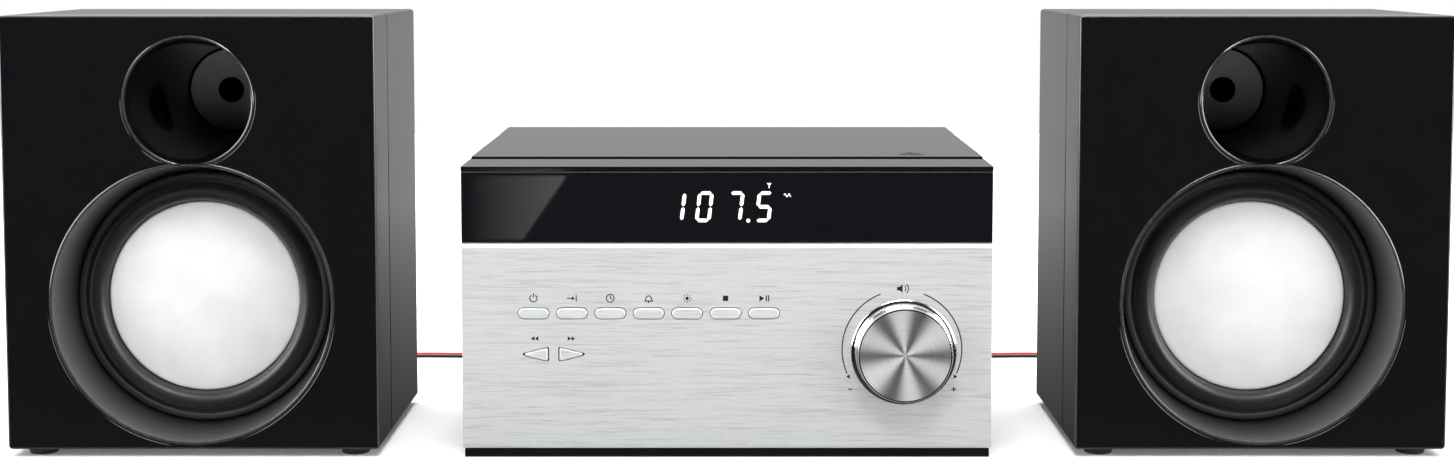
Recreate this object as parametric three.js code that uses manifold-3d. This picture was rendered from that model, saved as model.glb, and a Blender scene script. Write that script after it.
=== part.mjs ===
// Mini hifi system: a disc and radio unit between two loudspeakers. Millimetres, +Z up, front at -Y.
import * as THREE from 'three';
import { mergeVertices } from 'three/addons/utils/BufferGeometryUtils.js';
import Module from 'manifold-3d';

const wasm = await Module();
wasm.setup();

// ---------------------------------------------------------------- driving dimensions
const GAP = 0.3; // clearance between neighbouring pieces
const FRONT = -104; // plane of the face plate and of both loudspeaker fronts

const UNIT = { half: 120, top: 132.8, seam: -61.85, rear: 113.7, wall: 2.5, plinth: 3.8 };
const PLATE = { top: 98.1, bottom: 4.1, topBevel: 3.6, bottomBevel: 1.6, thick: 2 };
const WINDOW = { bottom: 98.4, top: 130.5, thick: 1.7 };
const BEZEL = { skin: -101.7, inner: -98.9 };
const LID = { bottom: 116, axisY: 109.5, axisZ: 124, postX: 81.3, postW: 6 };
const DISC = { x: 0, y: 27, wellR: 63, wellFloor: 107.5, deckTop: 115.4 };
const KEYS = { count: 7, first: -87.5, pitch: 17.37, z: 66.1, w: 13.7, h: 4.8, proud: 0.6 };
const KNOB = { x: 79.8, z: 49, skirtR: 24, faceR: 21.4, face: -117 };
const TUNE_DOWN = [[-93.2, 47.4], [-80.6, 44.3], [-80.6, 50.5]];
const TUNE_UP = [[-63.8, 47.4], [-76.4, 50.5], [-76.4, 44.3]];

const SPEAKER = { x: 242.2, half: 84.25, bottom: 3.7, top: 200.7, moulding: 36, depth: 123, wall: 2 };
const HORN = { z: 162.2, rimR: 29.8, depth: 88, holeR: 6 };
const WOOFER = { z: 70, rimR: 64.6, depth: 27 };
const CHORD = 133.92; // height at which the horn rim and the woofer rim cut each other
const GLAND = { z: 60, r: 4 };

const LEAD = { r: 1.7, lie: 1.75, y: 141, coilX: 62, coilY: 165.1, coilR: 19, bundleW: 6.9, bundleH: 6.4 };
const TERMINAL = { z: 41, rear: 119, leverRear: 122, xs: [-24, -12, 12, 24] };

// ---------------------------------------------------------------- solid helpers
function toSolid(geometry) {
  const bare = geometry.clone();
  for (const name of ['normal', 'uv', 'color']) bare.deleteAttribute(name);
  const merged = mergeVertices(bare, 1e-4);
  const points = merged.attributes.position;
  const corners = [];
  let volume = 0;
  const a = new THREE.Vector3();
  const b = new THREE.Vector3();
  const c = new THREE.Vector3();
  for (let i = 0; i < merged.index.count; i += 3) {
    const [p, q, r] = [0, 1, 2].map((k) => merged.index.getX(i + k));
    if (p === q || q === r || r === p) continue;
    a.fromBufferAttribute(points, p);
    b.fromBufferAttribute(points, q);
    c.fromBufferAttribute(points, r);
    volume += a.dot(b.clone().cross(c));
    corners.push(p, q, r);
  }
  if (volume < 0) {
    for (let i = 0; i < corners.length; i += 3) [corners[i], corners[i + 1]] = [corners[i + 1], corners[i]];
  }
  return new wasm.Manifold(
    new wasm.Mesh({
      numProp: 3, vertProperties: new Float32Array(points.array), triVerts: new Uint32Array(corners),
    }),
  );
}

function toGeometry(solid) {
  const mesh = solid.getMesh();
  const geometry = new THREE.BufferGeometry();
  const points = new Float32Array(mesh.vertProperties.length);
  points.set(mesh.vertProperties);
  geometry.setAttribute('position', new THREE.BufferAttribute(points, 3));
  geometry.setIndex([...mesh.triVerts]);
  geometry.computeVertexNormals();
  return geometry;
}

// A box between two corners.
function box(x0, x1, y0, y1, z0, z1) {
  const geometry = new THREE.BoxGeometry(x1 - x0, y1 - y0, z1 - z0);
  geometry.translate((x0 + x1) / 2, (y0 + y1) / 2, (z0 + z1) / 2);
  return toSolid(geometry);
}

// A closed [radius, station] profile turned about a line along Y through (x, z).
function turnedY(profile, x, z, segments) {
  const points = [...profile, profile[0]].map(([r, y]) => new THREE.Vector2(r, y));
  const geometry = new THREE.LatheGeometry(points, segments);
  geometry.translate(x, 0, z);
  return toSolid(geometry);
}

// A closed [radius, height] profile turned about a vertical line through (x, y).
function turnedZ(profile, x, y, segments) {
  const points = [...profile, profile[0]].map(([r, z]) => new THREE.Vector2(r, z));
  const geometry = new THREE.LatheGeometry(points, segments);
  geometry.rotateX(Math.PI / 2);
  geometry.translate(x, y, 0);
  return toSolid(geometry);
}

const rod = (r, from, to) => [[0, from], [r, from], [r, to], [0, to]];
const rodY = (r, x, z, y0, y1, segments = 20) => turnedY(rod(r, y0, y1), x, z, segments);
const rodZ = (r, x, y, z0, z1, segments = 20) => turnedZ(rod(r, z0, z1), x, y, segments);

function rodX(r, y, z, x0, x1, segments = 16) {
  const geometry = new THREE.CylinderGeometry(r, r, x1 - x0, segments);
  geometry.rotateZ(Math.PI / 2);
  geometry.translate((x0 + x1) / 2, y, z);
  return toSolid(geometry);
}

// An outline in the X-Z plane, pushed from y0 to y1.
function pushedY(shape, y0, y1, curveSegments = 2) {
  const geometry = new THREE.ExtrudeGeometry(shape, { depth: y1 - y0, bevelEnabled: false, curveSegments });
  geometry.rotateX(Math.PI / 2);
  geometry.translate(0, y1, 0);
  return toSolid(geometry);
}

// The X-Z outline of a rectangle with rounded corners, about (x, z).
function roundedOutline(x, z, w, h, r) {
  const shape = new THREE.Shape();
  const [x0, x1, z0, z1] = [x - w / 2, x + w / 2, z - h / 2, z + h / 2];
  shape.moveTo(x0 + r, z0);
  shape.lineTo(x1 - r, z0);
  shape.absarc(x1 - r, z0 + r, r, -Math.PI / 2, 0);
  shape.lineTo(x1, z1 - r);
  shape.absarc(x1 - r, z1 - r, r, 0, Math.PI / 2);
  shape.lineTo(x0 + r, z1);
  shape.absarc(x0 + r, z1 - r, r, Math.PI / 2, Math.PI);
  shape.lineTo(x0, z0 + r);
  shape.absarc(x0 + r, z0 + r, r, Math.PI, 1.5 * Math.PI);
  return shape;
}

// A triangle grown outward by a margin, as an X-Z outline.
function triangleOutline(corners, margin) {
  const cx = corners.reduce((sum, p) => sum + p[0], 0) / 3;
  const cz = corners.reduce((sum, p) => sum + p[1], 0) / 3;
  const shape = new THREE.Shape();
  corners.forEach(([x, z], i) => {
    const reach = 1 + margin / 2.2;
    const at = [cx + (x - cx) * reach, cz + (z - cz) * reach];
    if (i === 0) shape.moveTo(...at);
    else shape.lineTo(...at);
  });
  shape.closePath();
  return shape;
}

// A Y-Z outline pushed along X.
function pushedX(outline, x0, x1) {
  const shape = new THREE.Shape(outline.map(([y, z]) => new THREE.Vector2(y, z)));
  const geometry = new THREE.ExtrudeGeometry(shape, { depth: x1 - x0, bevelEnabled: false });
  const turn = new THREE.Matrix4().makeBasis(
    new THREE.Vector3(0, 1, 0), new THREE.Vector3(0, 0, 1), new THREE.Vector3(1, 0, 0),
  );
  geometry.applyMatrix4(turn);
  geometry.translate(x0, 0, 0);
  return toSolid(geometry);
}

const union = (...solids) => solids.reduce((whole, next) => whole.add(next));
const cut = (solid, ...tools) => tools.reduce((left, tool) => left.subtract(tool), solid);

// ---------------------------------------------------------------- materials
const finish = (color, roughness, metalness = 0) =>
    new THREE.MeshStandardMaterial({ color, roughness, metalness });
const glossBlack = finish(0x141618, 0.12);
const satinBlack = finish(0x1c1d1f, 0.45);
const casingGrey = finish(0x3a3b3d, 0.3);
const rubberBlack = finish(0x232425, 0.8);
const brushedSilver = finish(0xd6d7d9, 0.32, 1);
const spunSilver = finish(0xd0d1d3, 0.25, 1);
const domeSilver = finish(0xe4e5e7, 0.5, 0.2);
const plateGrey = finish(0x6e7072, 0.5);
const steel = finish(0x9a9c9e, 0.4, 1);
const boardGreen = finish(0x1f5a38, 0.55);
const leadRed = finish(0xb4282c, 0.5);
const whitePlastic = finish(0xd8d8d4, 0.5);

const system = new THREE.Group();
system.name = 'mini_hifi_system';

function piece(name, solid, material, parent = system) {
  const mesh = new THREE.Mesh(toGeometry(solid), material);
  mesh.name = name;
  parent.add(mesh);
  return mesh;
}

// ---------------------------------------------------------------- loudspeakers
const spkMid = (SPEAKER.bottom + SPEAKER.top) / 2;
const spkTall = SPEAKER.top - SPEAKER.bottom;
const spkRear = FRONT + SPEAKER.depth;
const mouldingRear = FRONT + SPEAKER.moulding;

function speakerBaffle() {
  const w = 2 * SPEAKER.half;
  const bevel = 1.2;
  const shell = union(
    pushedY(roundedOutline(0, spkMid, w - 1.2 * bevel, spkTall - 1.2 * bevel, 2.4), FRONT, FRONT + 1),
    pushedY(roundedOutline(0, spkMid, w, spkTall, 3), FRONT + 0.7, mouldingRear),
  );
  const hollow = pushedY(
    roundedOutline(0, spkMid, w - 2 * SPEAKER.wall, spkTall - 2 * SPEAKER.wall, 1.5),
    FRONT + 2.5, mouldingRear + 1,
  );
  const mouths = union(
    rodY(HORN.rimR + GAP, 0, HORN.z, FRONT - 1, FRONT + 4, 26),
    rodY(WOOFER.rimR + GAP, 0, WOOFER.z, FRONT - 1, FRONT + 4, 38),
  );
  return cut(shell, hollow, mouths);
}

function speakerCabinet() {
  const w = 2 * SPEAKER.half;
  const wall = 3;
  const front = mouldingRear + GAP;
  const shell = pushedY(roundedOutline(0, spkMid, w, spkTall, 3), front, spkRear);
  const inside = roundedOutline(0, spkMid, w - 2 * wall, spkTall - 2 * wall, 1.5);
  const hollow = pushedY(inside, front - 1, spkRear - wall);
  const posts = [-1, 1].flatMap((side) =>
    [SPEAKER.bottom + 12, SPEAKER.top - 12].map((z) => rodY(4, side * 72, z, front + 4, spkRear - 1, 12)),
  );
  const glandHole = rodY(GLAND.r + 0.3, 0, GLAND.z, spkRear - 8, spkRear + 1, 12);
  return cut(union(cut(shell, hollow), ...posts), glandHole);
}

function wooferBezel() {
  const rim = WOOFER.rimR;
  const profile = [
    [rim, 0], [rim - 1.1, 0], [rim - 1.7, 0.8], [rim - 2.3, 8], [rim - 3.7, 17.5], [58.4, WOOFER.depth],
    [63.6, WOOFER.depth], [63.6, 2.2], [rim, 2.2],
  ].map(([r, d]) => [r, FRONT + d]);
  const clear = box(-30, 30, FRONT - 1, FRONT + 40, CHORD - GAP / 2, CHORD + 20);
  return cut(turnedY(profile, 0, WOOFER.z, 38), clear);
}

function portHorn() {
  const rim = HORN.rimR;
  const profile = [
    [rim, 0], [rim - 1.3, 0.6], [26.2, 20], [22.8, 50], [20.2, HORN.depth], [HORN.holeR, HORN.depth],
    [HORN.holeR, HORN.depth + 16], [7.6, HORN.depth + 16], [7.6, HORN.depth + 2], [22, HORN.depth + 2],
    [24.4, 50], [28, 20], [29.4, 2.2], [rim, 2.2],
  ].map(([r, d]) => [r, FRONT + d]);
  const clear = box(-30, 30, FRONT - 1, FRONT + 20, CHORD - 20, CHORD + GAP / 2);
  return cut(turnedY(profile, 0, HORN.z, 26), clear);
}

// Pressed basket with four windows, carrying the magnet and its pole piece.
function wooferFrame() {
  const basket = [
    [62, 27.3], [54, 27.3], [54, 29], [34, 57.8], [19.4, 57.8], [19.4, 74], [15.8, 74], [15.8, 56], [0, 56],
    [0, 82], [36, 82], [36, 60], [37, 60], [57, 29.3], [62, 29.3],
  ].map(([r, d]) => [r, FRONT + d]);
  const body = turnedY(basket, 0, WOOFER.z, 28);
  const windows = [45, 135, 225, 315].map((angle) => {
    const geometry = new THREE.BoxGeometry(22, 16, 30);
    geometry.translate(47, FRONT + 42, 0);
    geometry.rotateY(THREE.MathUtils.degToRad(angle));
    geometry.translate(0, 0, WOOFER.z);
    return toSolid(geometry);
  });
  return cut(body, ...windows);
}

function wooferSurround() {
  const roll = (radius, steps) =>
    Array.from({ length: steps + 1 }, (_, i) => {
      const angle = (Math.PI * i) / steps;
      return [49.6 + radius * Math.cos(angle), 26.2 - radius * Math.sin(angle)];
    });
  const outer = roll(4.95, 5);
  const inner = roll(3.95, 4);
  const profile = [[58.1, 26.2], [58.1, 27], [53.6, 27], ...inner, ...outer.reverse()];
  return turnedY(profile.map(([r, d]) => [r, FRONT + d]), 0, WOOFER.z, 28);
}

// Shallow dome and the voice coil former behind it.
function wooferCone() {
  const profile = [
    [0, 22.4], [15, 22.8], [28, 23.9], [37, 25.2], [43.6, 26.4], [44.3, 27.1], [44.3, 32], [43.3, 32],
    [42.8, 27.6], [18, 24.6],
    [18, 62], [17, 62], [17, 24.2], [0, 23.6],
  ].map(([r, d]) => [r, FRONT + d]);
  return turnedY(profile, 0, WOOFER.z, 28);
}

function leadGland() {
  const profile = [
    [1.95, spkRear - 6], [GLAND.r, spkRear - 6], [GLAND.r, spkRear + 0.05], [6.5, spkRear + 0.05],
    [6.5, spkRear + 2], [4.2, spkRear + 3.2], [2.9, spkRear + 9], [1.95, spkRear + 9],
  ];
  return turnedY(profile, 0, GLAND.z, 12);
}

function foot(x, y) {
  return turnedZ([[0, 0], [6.3, 0], [6.7, 2], [7.6, 2.3], [7.6, 3.4], [0, 3.4]], x, y, 12);
}

for (const [side, x] of [['left', -SPEAKER.x], ['right', SPEAKER.x]]) {
  const speaker = new THREE.Group();
  speaker.position.x = x;
  system.add(speaker);
  piece(`${side}_baffle`, speakerBaffle(), glossBlack, speaker);
  piece(`${side}_cabinet`, speakerCabinet(), casingGrey, speaker);
  piece(`${side}_woofer_bezel`, wooferBezel(), glossBlack, speaker);
  piece(`${side}_port_horn`, portHorn(), plateGrey, speaker);
  piece(`${side}_woofer_frame`, wooferFrame(), satinBlack, speaker);
  piece(`${side}_woofer_surround`, wooferSurround(), rubberBlack, speaker);
  piece(`${side}_woofer_cone`, wooferCone(), domeSilver, speaker);
  piece(`${side}_lead_gland`, leadGland(), rubberBlack, speaker);
  [[-1, -1], [1, -1], [-1, 1], [1, 1]].forEach(([sx, sy], i) => {
    const y = sy < 0 ? FRONT + 11.7 : spkRear - 14;
    piece(`${side}_foot_${i + 1}`, foot(sx * 71.7, y), rubberBlack, speaker);
  });
}

// ---------------------------------------------------------------- speaker leads
const flexOutline = new THREE.Shape(
  Array.from({ length: 8 }, (_, i) => {
    const angle = (Math.PI * (i + 0.5)) / 4;
    return new THREE.Vector2(LEAD.r * Math.cos(angle), LEAD.r * Math.sin(angle));
  }),
);

function tube(points, steps) {
  const places = points.map((p) => new THREE.Vector3(...p));
  const extrudePath = new THREE.CatmullRomCurve3(places, false, 'centripetal');
  return toSolid(new THREE.ExtrudeGeometry(flexOutline, { steps, extrudePath, bevelEnabled: false }));
}

function leadRun(sign) {
  const lie = LEAD.lie;
  return tube([
    [sign * SPEAKER.x, spkRear + 9.4, GLAND.z], [sign * SPEAKER.x, spkRear + 20, GLAND.z - 1],
    [sign * (SPEAKER.x - 2), spkRear + 38, GLAND.z - 14], [sign * (SPEAKER.x - 8), spkRear + 62, 21],
    [sign * (SPEAKER.x - 22), spkRear + 92, lie + 1.5], [sign * (SPEAKER.x - 40), spkRear + 113, lie],
    [sign * (SPEAKER.x - 60), LEAD.y, lie], [sign * (SPEAKER.x - 100), LEAD.y, lie],
    [sign * (LEAD.coilX + 13.5), LEAD.y, lie],
  ], 28);
}

function leadCoil(sign) {
  const { coilR, bundleW, bundleH } = LEAD;
  const [low, high] = [0.05, 0.05 + bundleH];
  const profile = [
    [coilR - bundleW + 1.5, low], [coilR + bundleW - 1.5, low], [coilR + bundleW, low + 1.6],
    [coilR + bundleW, high - 1.6], [coilR + bundleW - 1.5, high], [coilR - bundleW + 1.5, high],
    [coilR - bundleW, high - 1.6], [coilR - bundleW, low + 1.6],
  ];
  return turnedZ(profile, sign * LEAD.coilX, LEAD.coilY, 24);
}

function leadTail(sign) {
  const high = 0.05 + LEAD.bundleH + LEAD.r + 0.45;
  return tube([
    [sign * LEAD.coilX, LEAD.y + 1.7, high], [sign * (LEAD.coilX - 14), LEAD.y + 1, high + 1],
    [sign * (LEAD.coilX - 28), LEAD.y - 1, high + 7], [sign * 24, LEAD.y - 3, 25],
    [sign * 18.5, LEAD.y - 7, TERMINAL.z - 5], [sign * 18, TERMINAL.rear + 7, TERMINAL.z - 0.6],
    [sign * 18, TERMINAL.rear + 0.4, TERMINAL.z],
  ], 18);
}

for (const [side, sign] of [['left', -1], ['right', 1]]) {
  piece(`${side}_lead_run`, leadRun(sign), leadRed);
  piece(`${side}_lead_coil`, leadCoil(sign), leadRed);
  piece(`${side}_lead_tail`, leadTail(sign), leadRed);
}

// ---------------------------------------------------------------- main unit: casing
const { half, wall } = UNIT;

function baseTray() {
  const plate = box(-half + 0.8, half - 0.8, FRONT + 1.2, UNIT.rear + 2, 0, UNIT.plinth);
  const relief = box(-half + 16, half - 16, FRONT + 16, UNIT.rear - 14, -1, 1.4);
  const posts = [[-88, -40], [88, -40], [-88, 98], [88, 98]].map(([x, y]) => rodZ(3, x, y, 3, 11, 12));
  return cut(union(plate, ...posts), relief);
}

function frontBezel() {
  const shell = box(-half, half, BEZEL.skin, UNIT.seam - GAP / 2, PLATE.bottom, UNIT.top);
  const lip = box(-half, half, FRONT + 0.2, BEZEL.skin + 1, WINDOW.top + GAP, UNIT.top);
  const hollow = box(-half + wall, half - wall, BEZEL.inner, 0, PLATE.bottom + wall, UNIT.top - wall);
  const view = box(-52, 52, BEZEL.skin - 1, BEZEL.inner + 1, 102, 127);
  const bush = rodY(6, KNOB.x, KNOB.z, BEZEL.skin - 1, BEZEL.inner + 1);
  return cut(union(shell, lip), hollow, view, bush, keyHoles());
}

function facePlate() {
  const rear = FRONT + PLATE.thick;
  const profile = [
    [FRONT, PLATE.bottom + PLATE.bottomBevel], [FRONT + 1.4, PLATE.bottom], [rear, PLATE.bottom],
    [rear, PLATE.top], [FRONT + 1.5, PLATE.top], [FRONT, PLATE.top - PLATE.topBevel],
  ];
  return cut(pushedX(profile, -half, half), keyHoles(), rodY(6, KNOB.x, KNOB.z, FRONT - 1, rear + 1));
}

const displayWindow = () =>
  box(-half + 0.1, half - 0.1, FRONT + 0.3, FRONT + 0.3 + WINDOW.thick, WINDOW.bottom, WINDOW.top);

function housingShell() {
  const low = PLATE.bottom;
  const high = LID.bottom - GAP;
  const front = UNIT.seam + GAP / 2;
  const shell = box(-half, half, front, UNIT.rear, low, high);
  const hollow = box(-half + wall, half - wall, front + wall, UNIT.rear - wall, low - 1, high + 1);
  const frontWay = box(-half + 10, half - 10, front - 1, front + wall + 1, 10, high - 8);
  const rearWay = box(-103, 103, UNIT.rear - wall - 1, UNIT.rear + 1, 10, 98);
  const posts = [-1, 1].map((side) => {
    const x = side * LID.postX;
    const reach = LID.postW / 2;
    return union(
      box(x - reach, x + reach, UNIT.rear - wall, UNIT.rear, high - 1, high + 1),
      box(x - reach, x + reach, LID.axisY - 3, UNIT.rear, high, LID.axisZ),
      rodX(3, LID.axisY, LID.axisZ, x - reach, x + reach),
      rodX(1.5, LID.axisY, LID.axisZ, x - reach - 2.8, x + reach + 2.8, 12),
    );
  });
  return union(cut(shell, hollow, frontWay, rearWay), ...posts);
}

function rearPanel() {
  const [front, rear] = [UNIT.rear + GAP, UNIT.rear + 2];
  const plate = box(-108, 108, front, rear, 5.8, 102);
  const terminals = box(-30.6, 30.6, front - 1, rear + 1, 36.4, 60.1);
  const dcWay = box(64.6, 75.4, front - 1, rear + 1, 11.7, 25.3);
  const auxWay = rodY(3.9, 50, 18, front - 1, rear + 1, 16);
  const vents = Array.from({ length: 9 }, (_, i) =>
    box(-96 + i * 6, -93 + i * 6, front - 1, rear + 1, 66, 92),
  );
  return cut(plate, terminals, dcWay, auxWay, ...vents);
}

// Full-width lid, hollow underneath; its rear wall is notched under the roof for the hinge posts.
function discLid() {
  const [front, rear, top] = [UNIT.seam + GAP / 2, UNIT.rear, UNIT.top];
  const outer = box(-half, half, front, rear, LID.bottom, top);
  const hollow = box(-half + wall, half - wall, front + wall, rear - wall, LID.bottom - 1, top - wall);
  const skirtRelief = box(-half - 1, half + 1, LID.axisY - 6, rear + 1, LID.bottom - 1, LID.bottom + 1.4);
  let lid = cut(outer, hollow, skirtRelief);
  for (const side of [-1, 1]) {
    const x = side * LID.postX;
    const inner = LID.postW / 2 + GAP;
    const cheek = inner + 3;
    lid = lid.add(box(x - cheek, x + cheek, LID.axisY - 6, rear - 1, LID.bottom + 1.4, top - 1));
    lid = cut(
      lid,
      box(x - inner, x + inner, LID.axisY - 4, rear + 1, LID.bottom - 1, top - wall),
      rodX(1.58, LID.axisY, LID.axisZ, x - cheek - 1, x + cheek + 1, 12),
    );
  }
  return lid;
}

// ---------------------------------------------------------------- main unit: front controls
const keyX = (i) => KEYS.first + i * KEYS.pitch;

function keyHoles() {
  const [y0, y1] = [FRONT - 1, BEZEL.inner + 1];
  const holes = Array.from({ length: KEYS.count }, (_, i) =>
    pushedY(roundedOutline(keyX(i), KEYS.z, KEYS.w + 2 * GAP, KEYS.h + 2 * GAP, 2.6), y0, y1),
  );
  return union(
    ...holes,
    pushedY(triangleOutline(TUNE_DOWN, GAP), y0, y1),
    pushedY(triangleOutline(TUNE_UP, GAP), y0, y1),
  );
}

// A key: cap through the plate, a flange behind the moulding and a plunger over its switch.
function keySolid(outline, x, z, flangeW, flangeH) {
  const seat = BEZEL.inner + GAP;
  return union(
    pushedY(outline, FRONT - KEYS.proud, seat + 0.1),
    box(x - flangeW / 2, x + flangeW / 2, seat, seat + 1, z - flangeH / 2, z + flangeH / 2),
    rodY(1.5, x, z, seat + 0.9, seat + 3, 10),
  );
}

for (let i = 0; i < KEYS.count; i += 1) {
  const outline = roundedOutline(keyX(i), KEYS.z, KEYS.w, KEYS.h, 2.3);
  piece(`key_${i + 1}`, keySolid(outline, keyX(i), KEYS.z, KEYS.w + 1.8, KEYS.h + 1.8), brushedSilver);
}
piece('tune_down', keySolid(triangleOutline(TUNE_DOWN, 0), -85, 47.4, 15, 8), brushedSilver);
piece('tune_up', keySolid(triangleOutline(TUNE_UP, 0), -72, 47.4, 10.4, 8), brushedSilver);

function volumeKnob() {
  const [face, back] = [KNOB.face, FRONT - GAP];
  const profile = [
    [0, face], [KNOB.faceR - 1, face], [KNOB.faceR, face + 1], [KNOB.faceR + 0.4, back - 4],
    [KNOB.skirtR, back - 2.8], [KNOB.skirtR, back], [19.8, back], [19.8, face + 2.6], [5.4, face + 2.6],
    [5.4, back - 1.2], [3, back - 1.2], [3, -93], [0, -93],
  ];
  return turnedY(profile, KNOB.x, KNOB.z, 30);
}

function volumeControl() {
  const body = union(
    box(KNOB.x - 8.5, KNOB.x + 8.5, BEZEL.inner + GAP, -91.3, KNOB.z - 8.5, KNOB.z + 8.5),
    rodY(5.2, KNOB.x, KNOB.z, FRONT - 0.9, -95, 20),
  );
  return cut(body, rodY(3.09, KNOB.x, KNOB.z, FRONT - 3, -92.4, 24));
}

function frontBoard() {
  const board = box(-104, 104, -91, -89.4, 12, 96);
  const spots = Array.from({ length: KEYS.count }, (_, i) => [keyX(i), KEYS.z]);
  spots.push([-85, 47.4], [-72, 47.4]);
  return union(board, ...spots.map(([x, z]) => box(x - 3, x + 3, -94.6, -90, z - 3, z + 3)));
}

const displayModule = () =>
  union(box(-50, 50, -98.4, -93, 103, 126), box(-56, 56, -93.1, -91.4, 101, 128));

// ---------------------------------------------------------------- main unit: disc player
function discDeck() {
  const [low, high] = [100, DISC.deckTop];
  const [x, y] = [DISC.x, DISC.y];
  const outer = box(-117, 117, -58.8, 110.6, low, high);
  const under = cut(
    box(-114.5, 114.5, -56.3, 108.1, low - 1, high - 2.5),
    rodZ(DISC.wellR + 2.5, x, y, low - 2, high, 36),
  );
  const below = rodZ(DISC.wellR + 0.5, x, y, low - 1, DISC.wellFloor - 2.5, 36);
  return cut(
    outer, under, below, rodZ(DISC.wellR, x, y, DISC.wellFloor, high + 1, 36),
    rodZ(17.2, x, y, low - 1, high, 24), box(-9, 9, -34, y - 10, low - 1, high - 3),
    rodZ(12, x - DISC.wellR + 2, y, DISC.wellFloor, high + 1, 20),
    rodZ(12, x + DISC.wellR - 2, y, DISC.wellFloor, high + 1, 20),
  );
}

function discHub() {
  const profile = [
    [0, 96], [1.5, 96], [1.5, 107.9], [16, 109.2], [16, 111],
    [7.3, 111], [7.1, 114], [5.6, 115.3], [0, 115.3],
  ];
  return turnedZ(profile, DISC.x, DISC.y, 24);
}

// Sub-chassis with the spindle motor and two rails for the pickup.
function discMechanism() {
  const plate = box(-34, 34, -44, 54, 91, 93);
  const motor = rodZ(13, DISC.x, DISC.y, 86, 98, 24);
  const rails = [-17, 17].map((x) => union(
    rodY(1.5, x, 97, -42, 10, 12),
    box(x - 3, x + 3, -43, -39, 92, 99.6),
    box(x - 3, x + 3, 8, 11, 92, 99.6),
  ));
  const posts = [[-31, -20], [31, -20], [-31, 51], [31, 51]].map(([x, y]) => rodZ(2.5, x, y, 92, 104.7, 10));
  return cut(union(plate, motor, ...rails, ...posts), rodZ(1.58, DISC.x, DISC.y, 95, 99, 24));
}

function opticalPickup() {
  const sled = union(
    box(-20.5, 20.5, -11, 5, 94, 99.6), box(-7, 7, -8, 2, 99, 105.3), rodZ(4, 0, -3, 105, 107.6, 16),
  );
  return cut(sled, rodY(1.58, -17, 97, -12, 6, 12), rodY(1.58, 17, 97, -12, 6, 12));
}

// ---------------------------------------------------------------- main unit: rear electronics
function mainBoard() {
  const board = box(-94, 94, -46, 108, 11.3, 12.9);
  const parts = [
    box(64.9, 75.1, 100, UNIT.rear + 2.2, 12, 25), box(44, 56, 100, 110, 12, 24),
    rodY(3.6, 50, 18, 109, UNIT.rear + 2.2, 16), box(-70, -20, 60, 64, 12, 48), box(20, 56, 10, 46, 12, 22),
    rodZ(7, -50, 20, 12, 38, 16), rodZ(7, -30, 20, 12, 38, 16),
  ];
  const bores = [rodY(1.8, 50, 18, 102, 120, 12), rodY(2.8, 70, 19, 104, 120, 16)];
  return cut(union(board, ...parts), ...bores);
}

function terminalBlock() {
  const { rear, xs, z } = TERMINAL;
  const body = union(
    box(-33, 33, UNIT.rear + 2.3, rear, 34, 63),
    box(-30.2, 30.2, UNIT.rear - 5.7, UNIT.rear + 2.4, 36.8, 59.7),
  );
  const pockets = xs.flatMap((x) => [
    box(x - 4.3, x + 4.3, UNIT.rear - 1.7, rear + 1, 45, 59),
    rodY(1.7, x, z, UNIT.rear - 1.7, rear + 1, 10),
  ]);
  return cut(body, ...pockets);
}

const lever = (x) => union(
  box(x - 3.9, x + 3.9, TERMINAL.rear - 1.5, TERMINAL.leverRear - 0.8, 45.9, 58.2),
  box(x - 3.9, x + 3.9, TERMINAL.leverRear - 1, TERMINAL.leverRear, 45.9, 49),
);

piece('base_tray', baseTray(), satinBlack);
piece('front_bezel', frontBezel(), glossBlack);
piece('face_plate', facePlate(), brushedSilver);
piece('display_window', displayWindow(), glossBlack);
piece('housing_shell', housingShell(), casingGrey);
piece('rear_panel', rearPanel(), satinBlack);
piece('disc_lid', discLid(), casingGrey);
piece('volume_knob', volumeKnob(), spunSilver);
piece('volume_control', volumeControl(), steel);
piece('front_board', frontBoard(), boardGreen);
piece('display_module', displayModule(), satinBlack);
piece('disc_deck', discDeck(), satinBlack);
piece('disc_hub', discHub(), whitePlastic);
piece('disc_mechanism', discMechanism(), steel);
piece('optical_pickup', opticalPickup(), steel);
piece('main_board', mainBoard(), boardGreen);
piece('terminal_block', terminalBlock(), satinBlack);
TERMINAL.xs.forEach((x, i) => {
  piece(`lever_${i + 1}`, lever(x), Math.abs(x) < 20 ? leadRed : satinBlack);
});

export default system;
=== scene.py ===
# Mini hifi system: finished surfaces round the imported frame. Metres, +Z up, fronts facing -Y.
import math

import bmesh
import bpy
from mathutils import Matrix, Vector


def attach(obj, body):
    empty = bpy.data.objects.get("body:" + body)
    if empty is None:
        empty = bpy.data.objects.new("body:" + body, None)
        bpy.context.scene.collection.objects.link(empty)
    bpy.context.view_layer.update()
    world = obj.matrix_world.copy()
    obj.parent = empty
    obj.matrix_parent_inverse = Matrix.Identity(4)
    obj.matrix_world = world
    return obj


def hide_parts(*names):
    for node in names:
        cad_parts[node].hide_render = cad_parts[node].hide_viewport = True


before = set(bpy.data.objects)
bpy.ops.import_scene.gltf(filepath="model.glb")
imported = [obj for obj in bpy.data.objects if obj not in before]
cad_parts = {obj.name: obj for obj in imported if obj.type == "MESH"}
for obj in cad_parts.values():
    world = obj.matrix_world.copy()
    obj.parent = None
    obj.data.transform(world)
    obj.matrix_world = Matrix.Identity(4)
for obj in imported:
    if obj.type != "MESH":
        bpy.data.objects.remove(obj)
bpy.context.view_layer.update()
mm = 0.001
front = -104.0  # plane of the face plate and of both loudspeaker fronts, in mm
sides = (("left", -1), ("right", 1))
print("frame loaded:", len(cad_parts), "nodes")

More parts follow.
